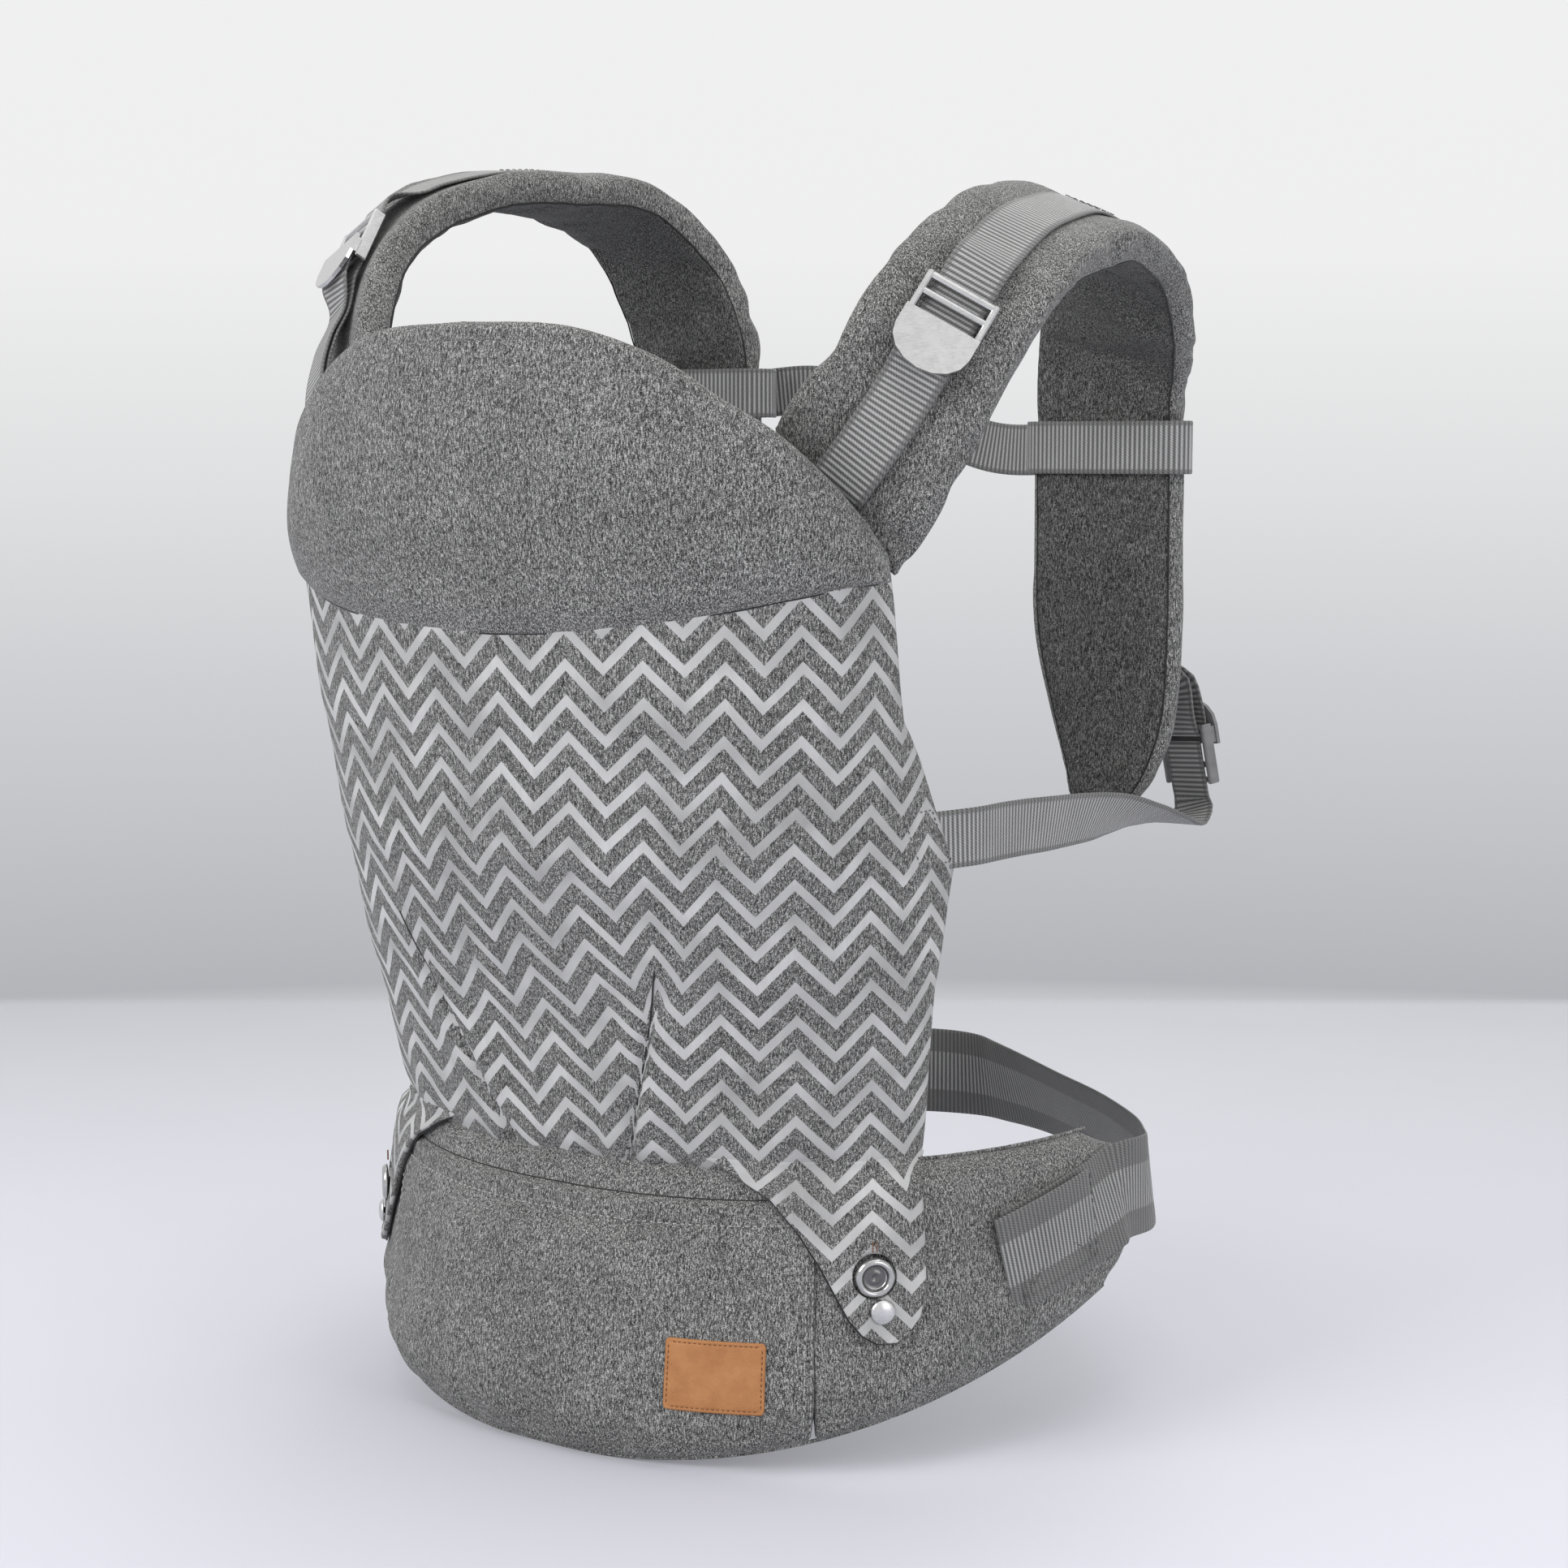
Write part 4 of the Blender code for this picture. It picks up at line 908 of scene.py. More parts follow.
def strap(name, tone, pitch=0.0024):
    """Ribbed webbing, mapped by its length and width."""
    look = Finish(name)
    run, across = look.weave()
    rib = look.math("SINE", look.math("MULTIPLY", run, 2 * math.pi / pitch))
    rib = look.math("MULTIPLY_ADD", rib, 0.5, 0.5)
    slant = look.math("ADD", look.math("MULTIPLY", run, 2600.0), look.math("MULTIPLY", across, 5200.0))
    twill = look.math("MULTIPLY_ADD", look.math("SINE", slant), 0.5, 0.5)
    thread = look.cloth_noise(run, 1500.0, across, 2600.0)
    edge = look.spread(look.math("ABSOLUTE", across), 0.0098, 0.0108)
    ribs = look.math("MULTIPLY", rib, look.math("MULTIPLY_ADD", edge, -0.6, 1.0))
    texture = look.math("MULTIPLY_ADD", twill, 0.14, look.math("MULTIPLY", thread, 0.52))
    height = look.math("MULTIPLY_ADD", ribs, 0.62, texture)
    # Colour follows the height: rib and twill tops are painted highlight and hollows painted shade; the
    # thread noise is the yarn's own tone
    tones = [(0.2, 0.16, 0.16), (0.46, 0.6, 0.59), (0.76, 1.12, 1.11), (1.0, 1.9, 1.88)]
    colour = look.ramp(height, [(at, (tone * k, tone * k, tone * blue)) for at, k, blue in tones])
    colour = look.shaded(colour, look.spread(look.noise(look.place, 40.0, 2.0), 0.3, 0.7, 0.92, 1.07))
    normal = look.bump(height, 0.0006, 0.9)
    return look.done(colour, look.spread(thread, 0.3, 0.7, 0.5, 0.7), normal, sheen=0.15, specular=0.35)


def moulded(name, tone):
    look = Finish(name)
    fine = look.noise(look.place, 2600.0, 2.0, 0.6)
    flow = look.noise(look.scaled(look.place, (60.0, 60.0, 200.0)), 1.0, 3.0)
    dull, clear = (tone * 0.85, tone * 0.85, tone * 0.87), (tone * 1.2, tone * 1.2, tone * 1.22)
    colour = look.mix(look.spread(flow, 0.3, 0.7), dull, clear)
    colour = look.mix(look.spread(fine, 0.62, 0.74, 0.0, 0.5), colour, (tone * 2.2, tone * 2.2, tone * 2.2))
    normal = look.bump(fine, 0.00008, 0.5)
    return look.done(colour, look.spread(flow, 0.3, 0.7, 0.36, 0.5), normal, specular=0.5)


def metal(name, tone, low=0.1, high=0.26, brushed=(300.0, 300.0, 2200.0)):
    look = Finish(name)
    smear = look.noise(look.place, 260.0, 3.0, 0.6)
    lines = look.noise(look.scaled(look.place, brushed), 1.0, 3.0, 0.7)
    specks = look.noise(look.place, 2400.0, 1.0)
    worn = look.math("MULTIPLY_ADD", lines, 0.6, look.math("MULTIPLY", smear, 0.4))
    dull, clear = (tone * 0.86, tone * 0.86, tone * 0.87), (tone, tone, tone * 0.99)
    colour = look.mix(look.spread(worn, 0.35, 0.65), dull, clear)
    colour = look.mix(look.spread(specks, 0.68, 0.78, 0.0, 0.25), colour, (tone * 0.6,) * 3)
    normal = look.bump(lines, 0.000008, 0.25)
    return look.done(colour, look.spread(worn, 0.35, 0.65, low, high), normal, metallic=1.0)


def hide(name):
    """Tan leather: pebbled grain, cloudy tone and darker pores."""
    look = Finish(name)
    cells = look.node("TexVoronoi", feature="DISTANCE_TO_EDGE")
    cells.inputs["Scale"].default_value = 1400.0
    look.put(cells.inputs["Vector"], look.place)
    pebble = look.spread(cells.outputs["Distance"], 0.0, 0.22)
    cloud = look.noise(look.place, 120.0, 4.0, 0.6)
    fine = look.noise(look.place, 1500.0, 2.0)
    colour = look.mix(look.spread(cloud, 0.3, 0.7), (0.37, 0.155, 0.052), (0.49, 0.225, 0.084))
    colour = look.mix(look.math("MULTIPLY_ADD", pebble, -0.35, 0.35), colour, (0.33, 0.125, 0.04))
    height = look.math("MULTIPLY_ADD", fine, 0.3, pebble)
    rough = look.spread(fine, 0.3, 0.7, 0.42, 0.6)
    return look.done(colour, rough, look.bump(height, 0.00012, 0.7), specular=0.4)


def yarn(name, colour):
    look = Finish(name)
    fine = look.noise(look.place, 3500.0, 1.0)
    dull, clear = (tuple(c * share for c in colour) for share in (0.75, 1.15))
    tone = look.mix(look.spread(fine, 0.35, 0.65), dull, clear)
    rough = look.spread(fine, 0.3, 0.7, 0.6, 0.8)
    return look.done(tone, rough, look.bump(fine, 0.0001, 0.6), sheen=0.2, specular=0.25)


FABRIC = melange("melange", 0.155)
# The same melange darkened for backs, linings and undersides: painted shade on faces turned from the light
DARK = melange("melange_shaded", 0.088, 0.08)
PRINT = chevron("zigzag_print", 0.15)
STRAP = strap("webbing", 0.25)
PLASTIC = moulded("moulded_plastic", 0.06)
LOCK_PLASTIC = moulded("moulded_plastic_grey", 0.16)
STEEL = metal("satin_steel", 0.66, 0.24, 0.36)
CHROME = metal("polished_steel", 0.5, 0.07, 0.16)
GUNMETAL = metal("dark_steel", 0.16, 0.1, 0.3)
LEATHER = hide("tan_leather")
THREAD_LIGHT = yarn("thread_pale", (0.42, 0.42, 0.41))
THREAD_GREY = yarn("thread_grey", (0.13, 0.13, 0.13))
THREAD_BROWN = yarn("thread_brown", (0.16, 0.065, 0.025))
# Near-black cord colour: painted shade along seams, folds and edges
PAINTED_SEAM_SHADOW = yarn("seam_shadow", (0.022, 0.022, 0.022))


# ---- Panel, head support and flaps

PANEL_SPAN = PANEL_TOP - PANEL_BOTTOM
JOINT_HALF = 0.1402  # half width of the panel where the flaps leave it
TUCK = 0.035  # share of the panel's height that is tucked into the belt
DARTS = [  # across and height of its lower and upper ends, and how much cloth it takes in
    (0.0345, 0.130, 0.0655, 0.2163, 0.007),
    (-0.0290, 0.130, -0.0790, 0.2274, -0.010),
]
PRINT_FOOT = 0.134  # height at which the print starts to run up the cloth
arcs = {}


def arc_at(u, v):
    """Distance round the panel from its centre line, at this height."""
    level = round(v * 40)
    if level not in arcs:
        steps = 60
        row = [panel_surface(step / steps, min(max(level / 40, 0), 1)) for step in range(steps + 1)]
        run = [0.0]
        for a, b in zip(row, row[1:]):
            flat = Vector((b.x - a.x, b.y - a.y, 0))
            run.append(run[-1] + flat.length)
        arcs[level] = run
    run = arcs[level]
    at = abs(u) * (len(run) - 1)
    index = min(int(at), len(run) - 2)
    return math.copysign(run[index] + (run[index + 1] - run[index]) * (at - index), u)


def arc(u, v):
    low = math.floor(v * 40) / 40
    part = (v - low) * 40
    return arc_at(u, low) * (1 - part) + arc_at(u, low + 0.025) * part


def dart_at(s, z, dart):
    """Signed distance from a dart's line and how open the dart is at this height."""
    low_s, low_z, high_s, high_z, _ = dart
    part = (z - low_z) / (high_z - low_z)
    return s - (low_s + (high_s - low_s) * part), max(0.0, 1 - part)


def panel_relief(s, z):
    """Creases, darts and puckers of the panel, as a lift off its surface."""
    lift = 0.0010 * noise.noise(Vector((s * 17, z * 13, 2.0)))
    low = 1 - ease(z, 0.134, 0.185)
    lift += 0.0016 * low * noise.noise(Vector((s * 75, z * 26, 5.0)))
    slant = Vector((s * 36 + z * 26, z * 34 - s * 12, 9.0))
    lift += 0.0011 * (1 - ease(z, 0.15, 0.26)) * noise.noise(slant)
    for dart in DARTS:
        away, open_share = dart_at(s, z, dart)
        if open_share <= 0:
            continue
        depth = ease(open_share, 0.0, 0.35)
        lift -= 0.0022 * depth * math.exp(-((away / 0.0017) ** 2))
        lift += 0.0017 * depth * math.exp(-(((abs(away) - 0.0085) / 0.0075) ** 2))
    seam = 1 - ease((PANEL_TOP - z) if abs(s) < 0.2 else 1.0, 0.0, 0.02)
    return lift + 0.0006 * seam * noise.noise(Vector((s * 60, 0.3, 7.0)))


def panel_place(u, v, offset):
    low = v < TUCK
    inside = max((v - TUCK) / (1 - TUCK) * 1.025, 0.0)
    point = panel_surface(u, inside)
    normal = surface_normal(panel_surface, u, inside)
    s = arc(u, min(inside, 1.0))
    edge = ease(1 - abs(u), 0.0, 0.05)
    lift = panel_relief(s, point.z) * (0.25 + 0.75 * edge) + offset
    point = point + normal * lift
    if low:
        share = 1 - v / TUCK
        inward = Vector((-normal.x, -normal.y, 0)).normalized()
        point += inward * (0.0034 * share) + Vector((0, 0, -0.0070 * share))
    return point


def print_place(s, z):
    """Where the print lies: across and up the cloth, allowing for what the darts take in."""
    across = s
    away, open_share = dart_at(s, z, DARTS[1])
    if away < 0:  # beyond the wearer's right dart
        across += DARTS[1][4] * open_share * (1.0 - ease(-away, 0.0, 0.075))
    # What the wearer's left dart takes in: little before it, and more beyond it, less higher up
    full = 0.0095 * math.exp(-(((z - 0.245) / 0.055) ** 2)) * ease(s, -0.09, 0.02)
    taken = max(0.038 - 0.17 * (z - PRINT_FOOT), 0.003) + 0.1 * (s - 0.12)
    half = 0.0015 + 0.028 * ease(z, 0.19, 0.235)
    share = ease(dart_at(s, z, DARTS[0])[0], -half, half)
    return across + full * (1 - share) + taken * share, (z - PRINT_FOOT) * 1.0224


def panel_print(u, v):
    inside = max((v - TUCK) / (1 - TUCK) * 1.025, 0.0)
    point = panel_surface(u, inside)
    return print_place(arc(u, min(inside, 1.0)), point.z - 0.007 * max(1 - v / TUCK, 0))


panel = piece(
    "panel",
    shell("panel", panel_place, -PANEL_THICK / 2, PANEL_THICK / 2, 210, 150, panel_print),
    [PRINT, DARK],
    "carrier",
)
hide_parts("panel_outer", "panel_lining")


def hood_place(u, v, offset):
    spot = hood_surface(u, v)
    out = unit((spot.x * 0.6, spot.y + 0.03, 0))
    soft = 0.0016 * noise.noise(Vector((spot.x * 16, spot.z * 16, 4.0)))
    soft += 0.0007 * noise.noise(Vector((spot.x * 45, spot.z * 40, 8.0)))
    rim = 1 - ease(1 - v, 0.0, 0.05)
    seam = 1 - ease(v, 0.0, 0.09)
    groove = math.exp(-(((v - 0.955) / 0.012) ** 2)) * ease(u, -0.35, 0.0)
    body = offset * (1 - 0.55 * seam) if offset > 0 else offset
    middle = 4 * v * (1 - v)
    return spot + out * (body + soft * middle - 0.0006 * groove - 0.0006 * rim)


hood = piece(
    "head_support",
    shell("head_support", hood_place, -0.0015, 0.0036, 170, 80),
    [FABRIC, DARK],
    "carrier",
)
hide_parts("head_support_outer", "head_support_lining")


def joint_at(theta):
    """Where round the panel, from -1 to 1, its lower edge meets this angle of the waist ring."""
    target = belt_point(theta, belt_down(theta, PANEL_BOTTOM), flap_gap(PANEL_BOTTOM))
    sine = math.copysign(min(abs(target.x) / JOINT_HALF, 1.0), target.x)
    return math.asin(sine) * 2 / math.pi


def panel_joint(theta, offset):
    """The panel's lower edge at this angle of the waist ring."""
    return panel_place(joint_at(theta), TUCK, offset)


FLAP_RISE = [  # height, and how far up the cloth the print is there
    (0.134, 0.0),
    (0.122, -0.0125),
    (0.1084, -0.0278),
    (0.0935, -0.0431),
    (0.0786, -0.0584),
    (0.05, -0.0878),
]


FLAP_ACROSS = 0.1312  # where the print is at the first of these angles; the second is one period
FLAP_DEGREES = (28.1, 10.95)


def flap_print(u, v):
    height, start, end = blend_rows(FLAP_LEFT, v * (len(FLAP_LEFT) - 1))
    degrees = start + (end - start) * (u + 1) / 2
    rise = 0.0
    for (z0, t0), (z1, t1) in zip(FLAP_RISE, FLAP_RISE[1:]):
        if z1 <= height <= z0:
            rise = t0 + (t1 - t0) * (z0 - height) / (z0 - z1)
    across = FLAP_ACROSS + (degrees - FLAP_DEGREES[0]) / FLAP_DEGREES[1] * CHEVRON_PERIOD
    share = ease(v, 0.06, 0.3)
    if share >= 1:
        return across, rise
    over, up = print_place(arc(joint_at(math.radians(degrees)), 0), height + 0.001)
    return over + (across - over) * share, up + (rise - up) * share


def flap_skin(u, v, offset):
    """The wearer's left flap, running down from the panel's lower edge over the belt."""
    height, start, end = blend_rows(FLAP_LEFT, v * (len(FLAP_LEFT) - 1))
    theta = math.radians(start + (end - start) * (u + 1) / 2)
    swell = 0.0009 * noise.noise(Vector((u * 2.2, v * 4.5, 3.0))) * ease(v, 0.05, 0.3)
    curl = 0.0016 * ease(abs(u), 0.72, 1.0) * (1 - ease(v, 0.55, 0.8))
    low = flap_place(height, theta, offset + max(swell, -0.0003) + curl * 0.4)
    share = ease(v, 0.0, 0.2)
    if share >= 1:
        return low
    top = panel_joint(theta, offset - FLAP_THICK / 2)
    top.z += height - FLAP_LEFT[0][0]
    return top.lerp(low, share)


# A jeans button from its face to its back, as (radius, height)
# fmt: off
BUTTON_PROFILE = [
    (0, 0.0026), (0.0010, 0.0027), (0.0013, 0.0031), (0.0026, 0.0031), (0.0032, 0.0027),
    (0.0048, 0.0028), (0.0053, 0.0036), (0.0057, 0.0047), (0.0063, 0.0054), (0.0070, 0.0056),
    (0.0077, 0.0053), (0.0083, 0.0046), (0.0087, 0.0038), (0.0086, 0.0033), (0.0080, 0.0030),
    (0.0024, 0.0024), (0.0022, -0.0015), (0, -0.0015),
]
# fmt: on
BUTTON_SPOT = ring_spot(BUTTON_PLACE, 0.0)
RIVET_SPOT = ring_spot(RIVET_PLACE, 0.0)


def in_button(point):
    middle, out = BUTTON_SPOT
    away = point - middle
    return (away - out * away.dot(out)).length < BUTTON_HOLE


def snapped(mesh):
    """Draws the ragged rim left round the button into a circle."""
    middle, out = BUTTON_SPOT
    counts = {}
    for polygon in mesh.polygons:
        corners = list(polygon.vertices)
        for a, b in zip(corners, corners[1:] + corners[:1]):
            away = (mesh.vertices[a].co + mesh.vertices[b].co) / 2 - middle
            if (away - out * away.dot(out)).length < BUTTON_HOLE + 0.0022:
                counts[a] = counts[b] = True
    for index in counts:
        away = mesh.vertices[index].co - middle
        rise = out * away.dot(out)
        flat = away - rise
        if flat.length < BUTTON_HOLE + 0.0010:
            mesh.vertices[index].co = middle + rise + flat.normalized() * (BUTTON_HOLE + 0.0001)
    return mesh


for side, word in ((1, "left"), (-1, "right")):
    mesh = snapped(shell("flap_" + word, flap_skin, 0.0, FLAP_THICK, 76, 110, flap_print, in_button))
    flap = piece("flap_" + word + "_cloth", flipped(mesh, side), [PRINT, DARK], None)
    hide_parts("flap_" + word)
    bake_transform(flap)

    spot = local_frame(BUTTON_SPOT[0], (0, 0, 1), BUTTON_SPOT[1])
    mesh = turned("button", BUTTON_PROFILE[::-1], spot)
    recess = [math.hypot(*(spot.inverted() @ polygon.center).xy) < 0.0050 for polygon in mesh.polygons]
    mesh.polygons.foreach_set("material_index", [int(inside) for inside in recess])
    button = piece("button_" + word, flipped(mesh, side), [CHROME, GUNMETAL], "carrier")
    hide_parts("seat_button_" + word)

    # A dark cord round the flap's edge where it lies on the belt: a painted shadow line
    rim = [(-1, 0.06 + 0.94 * i / 40) for i in range(41)]
    rim += [(i / 6 - 1, 1.0) for i in range(1, 12)] + [(1, 1 - 0.97 * i / 40) for i in range(41)]
    flat_out = Vector((side * BUTTON_SPOT[1].x, BUTTON_SPOT[1].y, 0))
    line = [(mirrored(flap_skin(u, v, 0.0001), side), flat_out) for u, v in rim]
    shade = cord_line("flap_edge_shadow_" + word, line, 0.0008, None, PAINTED_SEAM_SHADOW)
    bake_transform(shade)
    slit = []
    for shift in (-0.0009, 0.0009):
        start = BUTTON_SPOT[0] + BUTTON_SPOT[1] * (FLAP_THICK + 0.0002) + BUTTON_SPOT[1].cross(UP) * shift
        heights = [0.0104 + 0.0012 * step for step in range(5)]
        slit.append([(mirrored(start + UP * height, side), flat_out) for height in heights])
    stitching("buttonhole_" + word, slit, "flap_" + word, THREAD_BROWN, 0.0012, 0.0001, 0.0004)

    spot = local_frame(RIVET_SPOT[0], (0, 0, 1), RIVET_SPOT[1])
    top = FLAP_THICK + 0.0008
    dome = (0.2, 0.45, 0.7, 0.95, 1.15, 1.35, 1.5)
    profile = [(0, top + 0.0021)] + [(0.0054 * math.sin(t), top + 0.0021 * math.cos(t)) for t in dome]
    profile += [(0.0055, top - 0.0001), (0.0052, top - 0.0003), (0.0015, top - 0.0003)]
    profile += [(0.0014, -0.0006), (0, -0.0006)]
    rivet = piece(
        "rivet_" + word,
        flipped(turned("rivet", profile[::-1], spot), side),
        STEEL,
        "flap_" + word,
    )
    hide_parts("flap_rivet_" + word)


# ---- Waist belt

# How far down the belt its rings have points, outside from the top and inside from the bottom
# fmt: off
OUTER_DOWNS = [
    0.0, 0.02, 0.045, 0.08, 0.105, 0.122, 0.130, 0.138, 0.150, 0.175, 0.200, 0.208, 0.216, 0.24,
    0.28, 0.34, 0.41, 0.48, 0.55, 0.62, 0.69, 0.76, 0.83, 0.89, 0.94, 0.975, 0.992,
]
# fmt: on
INNER_DOWNS = [1.0, 0.985, 0.95, 0.89, 0.80, 0.70, 0.60, 0.50, 0.40, 0.30, 0.20, 0.11, 0.05, 0.015]
POCKET_TOP = 0.130
POCKET_STEP = 0.0019
HEM = 0.208


def belt_round(down):
    return BELT_THICK / 2 * (1 - abs(1 - 2 * down) ** 5) ** 0.6


def belt_outer(angle, down):
    """The belt's outer face as it looks, with the front layer's folded top edge."""
    lift = belt_round(down)
    if abs(angle) < BELT_SEAM + 0.005:
        fold = ease(down, POCKET_TOP - 0.002, POCKET_TOP + 0.006)
        lift += POCKET_STEP * fold * (1 - ease(down, 0.9, 0.99))
        lift -= 0.0009 * math.exp(-(((down - HEM) / 0.008) ** 2))
        lift -= 0.0008 * math.exp(-(((down - POCKET_TOP + 0.012) / 0.01) ** 2))
    return lift


def belt_limit(angle, down, outer):
    """How far the padding may swell here, kept low under whatever lies on the belt."""
    degrees = math.degrees(abs(angle))
    top, low, _ = belt_frame(angle)
    height = top.z + (low.z - top.z) * down
    if not outer:
        return 0.0024
    most = 0.0034
    if degrees > 58 or (down < 0.16 and degrees < 45):
        most = 0.0006
    elif 18 < degrees < 56 and height > 0.045:
        most = 0.0007
    place = math.degrees(angle)
    if abs(place - LABEL_PLACE[1]) < 10 and abs(height - LABEL_PLACE[0]) < 0.024:
        most = 0.0008
    return most


def build_belt_section(word, start, end, steps):
    rings, marks = [], []
    for row in range(steps + 1):
        part = row / steps
        angle = start + (end - start) * part
        top, low, out = belt_frame(angle)
        if word == "front":
            tuck, tip, close = max(1 - min(part, 1 - part) * steps / 1.6, 0), 1.0, 1.0
        else:
            tuck = max(1 - part * steps / 1.6, 0) * 0.85
            tip = 1 - 0.35 * max(part - 0.86, 0) / 0.14
            close = 1 - 0.75 * ease(part, 0.965, 1.0)
        ring = []
        for down in OUTER_DOWNS:
            depth = 0.5 + (down - 0.5) * tip
            sunk = 1 - 0.10 * tuck if 0.03 < down < 0.97 else 1
            lift = belt_outer(angle, down) * sunk * close
            ring.append(top.lerp(low, depth) + out * lift)
            marks.append((angle, down, True))
        for down in INNER_DOWNS:
            depth = 0.5 + (down - 0.5) * tip
            ring.append(top.lerp(low, depth) - out * belt_round(down) * (1 - 0.10 * tuck) * close)
            marks.append((angle, down, False))
        rings.append(ring)
    kinds = [0] * len(OUTER_DOWNS) + [1] * len(INNER_DOWNS)  # fabric outside, inside the darkened melange as painted shade
    mesh = tube("belt_" + word, rings, None, kinds)
    made = piece("belt_" + word, mesh, [FABRIC, DARK], None)
    count = len(rings[0])
    pinned = []
    for index, (angle, down, outer) in enumerate(marks):
        row = index // count
        ends = row in (0, len(rings) - 1)
        seam = down in (0.0, 1.0, 0.992) or (outer and abs(down - HEM) < 0.001 and word == "front")
        if ends or seam:
            pinned.append(index)
    inflate(made, pinned, lambda index: belt_limit(*marks[index]))
    for index, vertex in enumerate(mesh.vertices):
        angle, down, outer = marks[index]
        _, _, out = belt_frame(angle)
        wave = noise.noise(Vector((angle * 9, down * 4, 1.0 if outer else 6.0)))
        fine = noise.noise(Vector((angle * 34, down * 9, 3.0)))
        free = min(belt_limit(angle, down, outer) / 0.003, 1.0) * 4 * down * (1 - down)
        vertex.co += out * ((0.0011 * wave + 0.0005 * fine) * free)
        vertex.co.z = max(vertex.co.z, 0.0004)
    subdivide(made)
    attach(made, "carrier")
    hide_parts("belt_cover_" + word, "belt_foam_" + word)
    return made


front = build_belt_section("front", -BELT_SEAM - 0.010, BELT_SEAM + 0.010, 52)
build_belt_section("left", BELT_SEAM - 0.004, BELT_END, 44)
build_belt_section("right", -BELT_SEAM + 0.004, -BELT_END, 44)


tree = BVHTree.FromObject(front, bpy.context.evaluated_depsgraph_get())


def belt_line(places, lift):
    """Points just over the belt's outer face, from (angle in degrees, down) places."""
    line = []
    for degrees, down in places:
        angle = math.radians(degrees)
        out = belt_frame(angle)[2]
        spot = belt_point(angle, down, belt_outer(angle, down))
        hit = tree.ray_cast(spot + out * 0.01, -out, 0.02)[0]
        line.append(((hit or spot) + out * lift, out))
    return line


hem = [belt_line([(degrees, HEM) for degrees in range(-36, 37)], 0.0003)]
stitching("belt_hem_stitches", hem, "carrier", THREAD_LIGHT, 0.0021, 0.0015, 0.00036)
columns = []
for side in (1, -1):
    for shift in (-1.3, -0.4):
        columns.append(belt_line([(side * (37 + shift), 0.14 + 0.84 * i / 40) for i in range(41)], 0.0002))
stitching("belt_seam_stitches", columns, "carrier", THREAD_LIGHT, 0.0021, 0.0015, 0.00032)
edge = belt_line([(degrees, POCKET_TOP - 0.008) for degrees in range(-36, 37)], 0.0001)
cord_line("belt_fold_shadow", edge, 0.0003, "carrier", PAINTED_SEAM_SHADOW)
for name, down in (("belt_top_piping", 0.0), ("belt_bottom_piping", 1.0)):
    line = []
    for degrees in range(-84, 85, 2):
        top, low, out = belt_frame(math.radians(degrees))
        spot = top.lerp(low, down) + UP * (0.0003 if down else 0.0002) + out * 0.0003
        spot.z = max(spot.z, 0.0008)
        line.append((spot, out))
    cord_line(name, line, 0.00085, "carrier", FABRIC)


# ---- Leather tag, left blank


def label_place(u, v, offset):
    height, degrees = LABEL_PLACE
    corner = 0.0022
    wide, tall = LABEL_SIZE[0] / 2, LABEL_SIZE[1] / 2
    x, y = u * wide, (2 * v - 1) * tall
    over_x, over_y = abs(x) - (wide - corner), abs(y) - (tall - corner)
    if over_x > 0 and over_y > 0:
        reach = math.hypot(over_x, over_y)
        most = max(over_x, over_y)
        x = math.copysign(wide - corner + over_x * most / reach, x)
        y = math.copysign(tall - corner + over_y * most / reach, y)
    angle = math.radians(degrees) + x / 0.196
    down = belt_down(angle, height + y)
    edge = min(wide - abs(x), tall - abs(y))
    press = 0.00022 * math.exp(-(((edge - 0.0016) / 0.00045) ** 2))
    bevel = 0.0003 * (1 - ease(edge, 0.0, 0.0007))
    lift = belt_outer(angle, down) + 0.0006 + offset
    return belt_point(angle, down, lift - ((press + bevel) if offset > 0.0006 else 0))


tag = piece(
    "leather_tag",
    shell("leather_tag", label_place, 0.0, LABEL_THICK, 150, 100),
    [LEATHER, LEATHER],
    "carrier",
)
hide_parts("belt_label")
border, wide, tall = [], 0.0214, 0.01365
for start, end in (((-1, -1), (1, -1)), ((1, -1), (1, 1)), ((1, 1), (-1, 1)), ((-1, 1), (-1, -1))):
    line = []
    for step in range(25):
        share = 0.035 + 0.93 * step / 24
        x = (start[0] + (end[0] - start[0]) * share) * wide / (LABEL_SIZE[0] / 2)
        y = (start[1] + (end[1] - start[1]) * share) * tall / (LABEL_SIZE[1] / 2)
        spot = label_place(x, (y + 1) / 2, LABEL_THICK + 0.0001)
        line.append((spot, belt_frame(math.radians(24))[2]))
    border.append(line)
stitching("tag_stitches", border, "carrier", THREAD_BROWN, 0.0016, 0.0007, 0.00021)


# ---- Shoulder straps

AROUND = 32
SEAM_STEPS = (-3, 19)  # ring steps of the two seams, just under the sides


def pad_share(step):
    """Across and through, in halves of the width and thickness, at this step round the pad."""
    turn = 2 * math.pi * step / AROUND
    a, b = math.cos(turn), math.sin(turn)
    return math.copysign(abs(a) ** 0.62, a), math.copysign(abs(b) ** 0.72, b)


def pad_limit(side, at, a, b):
    half = Pad(side).frame(at)[3]
    most = 0.0032
    if b > 0:
        if at < CROWN_AT + 0.25:  # webbing or a lock lies on the outer face
            most = 0.0032 * ease(abs(a) * half, STRAP_WEB / 2 + 0.001, STRAP_WEB / 2 + 0.012)
        if at > 9.3:
            most = min(most, 0.0008)
    elif at > 9.2:
        most = min(most, 0.0010)
    if at > 10.6:
        most = min(most, 0.0003)
    return most * ease(at, 0.0, 0.4)


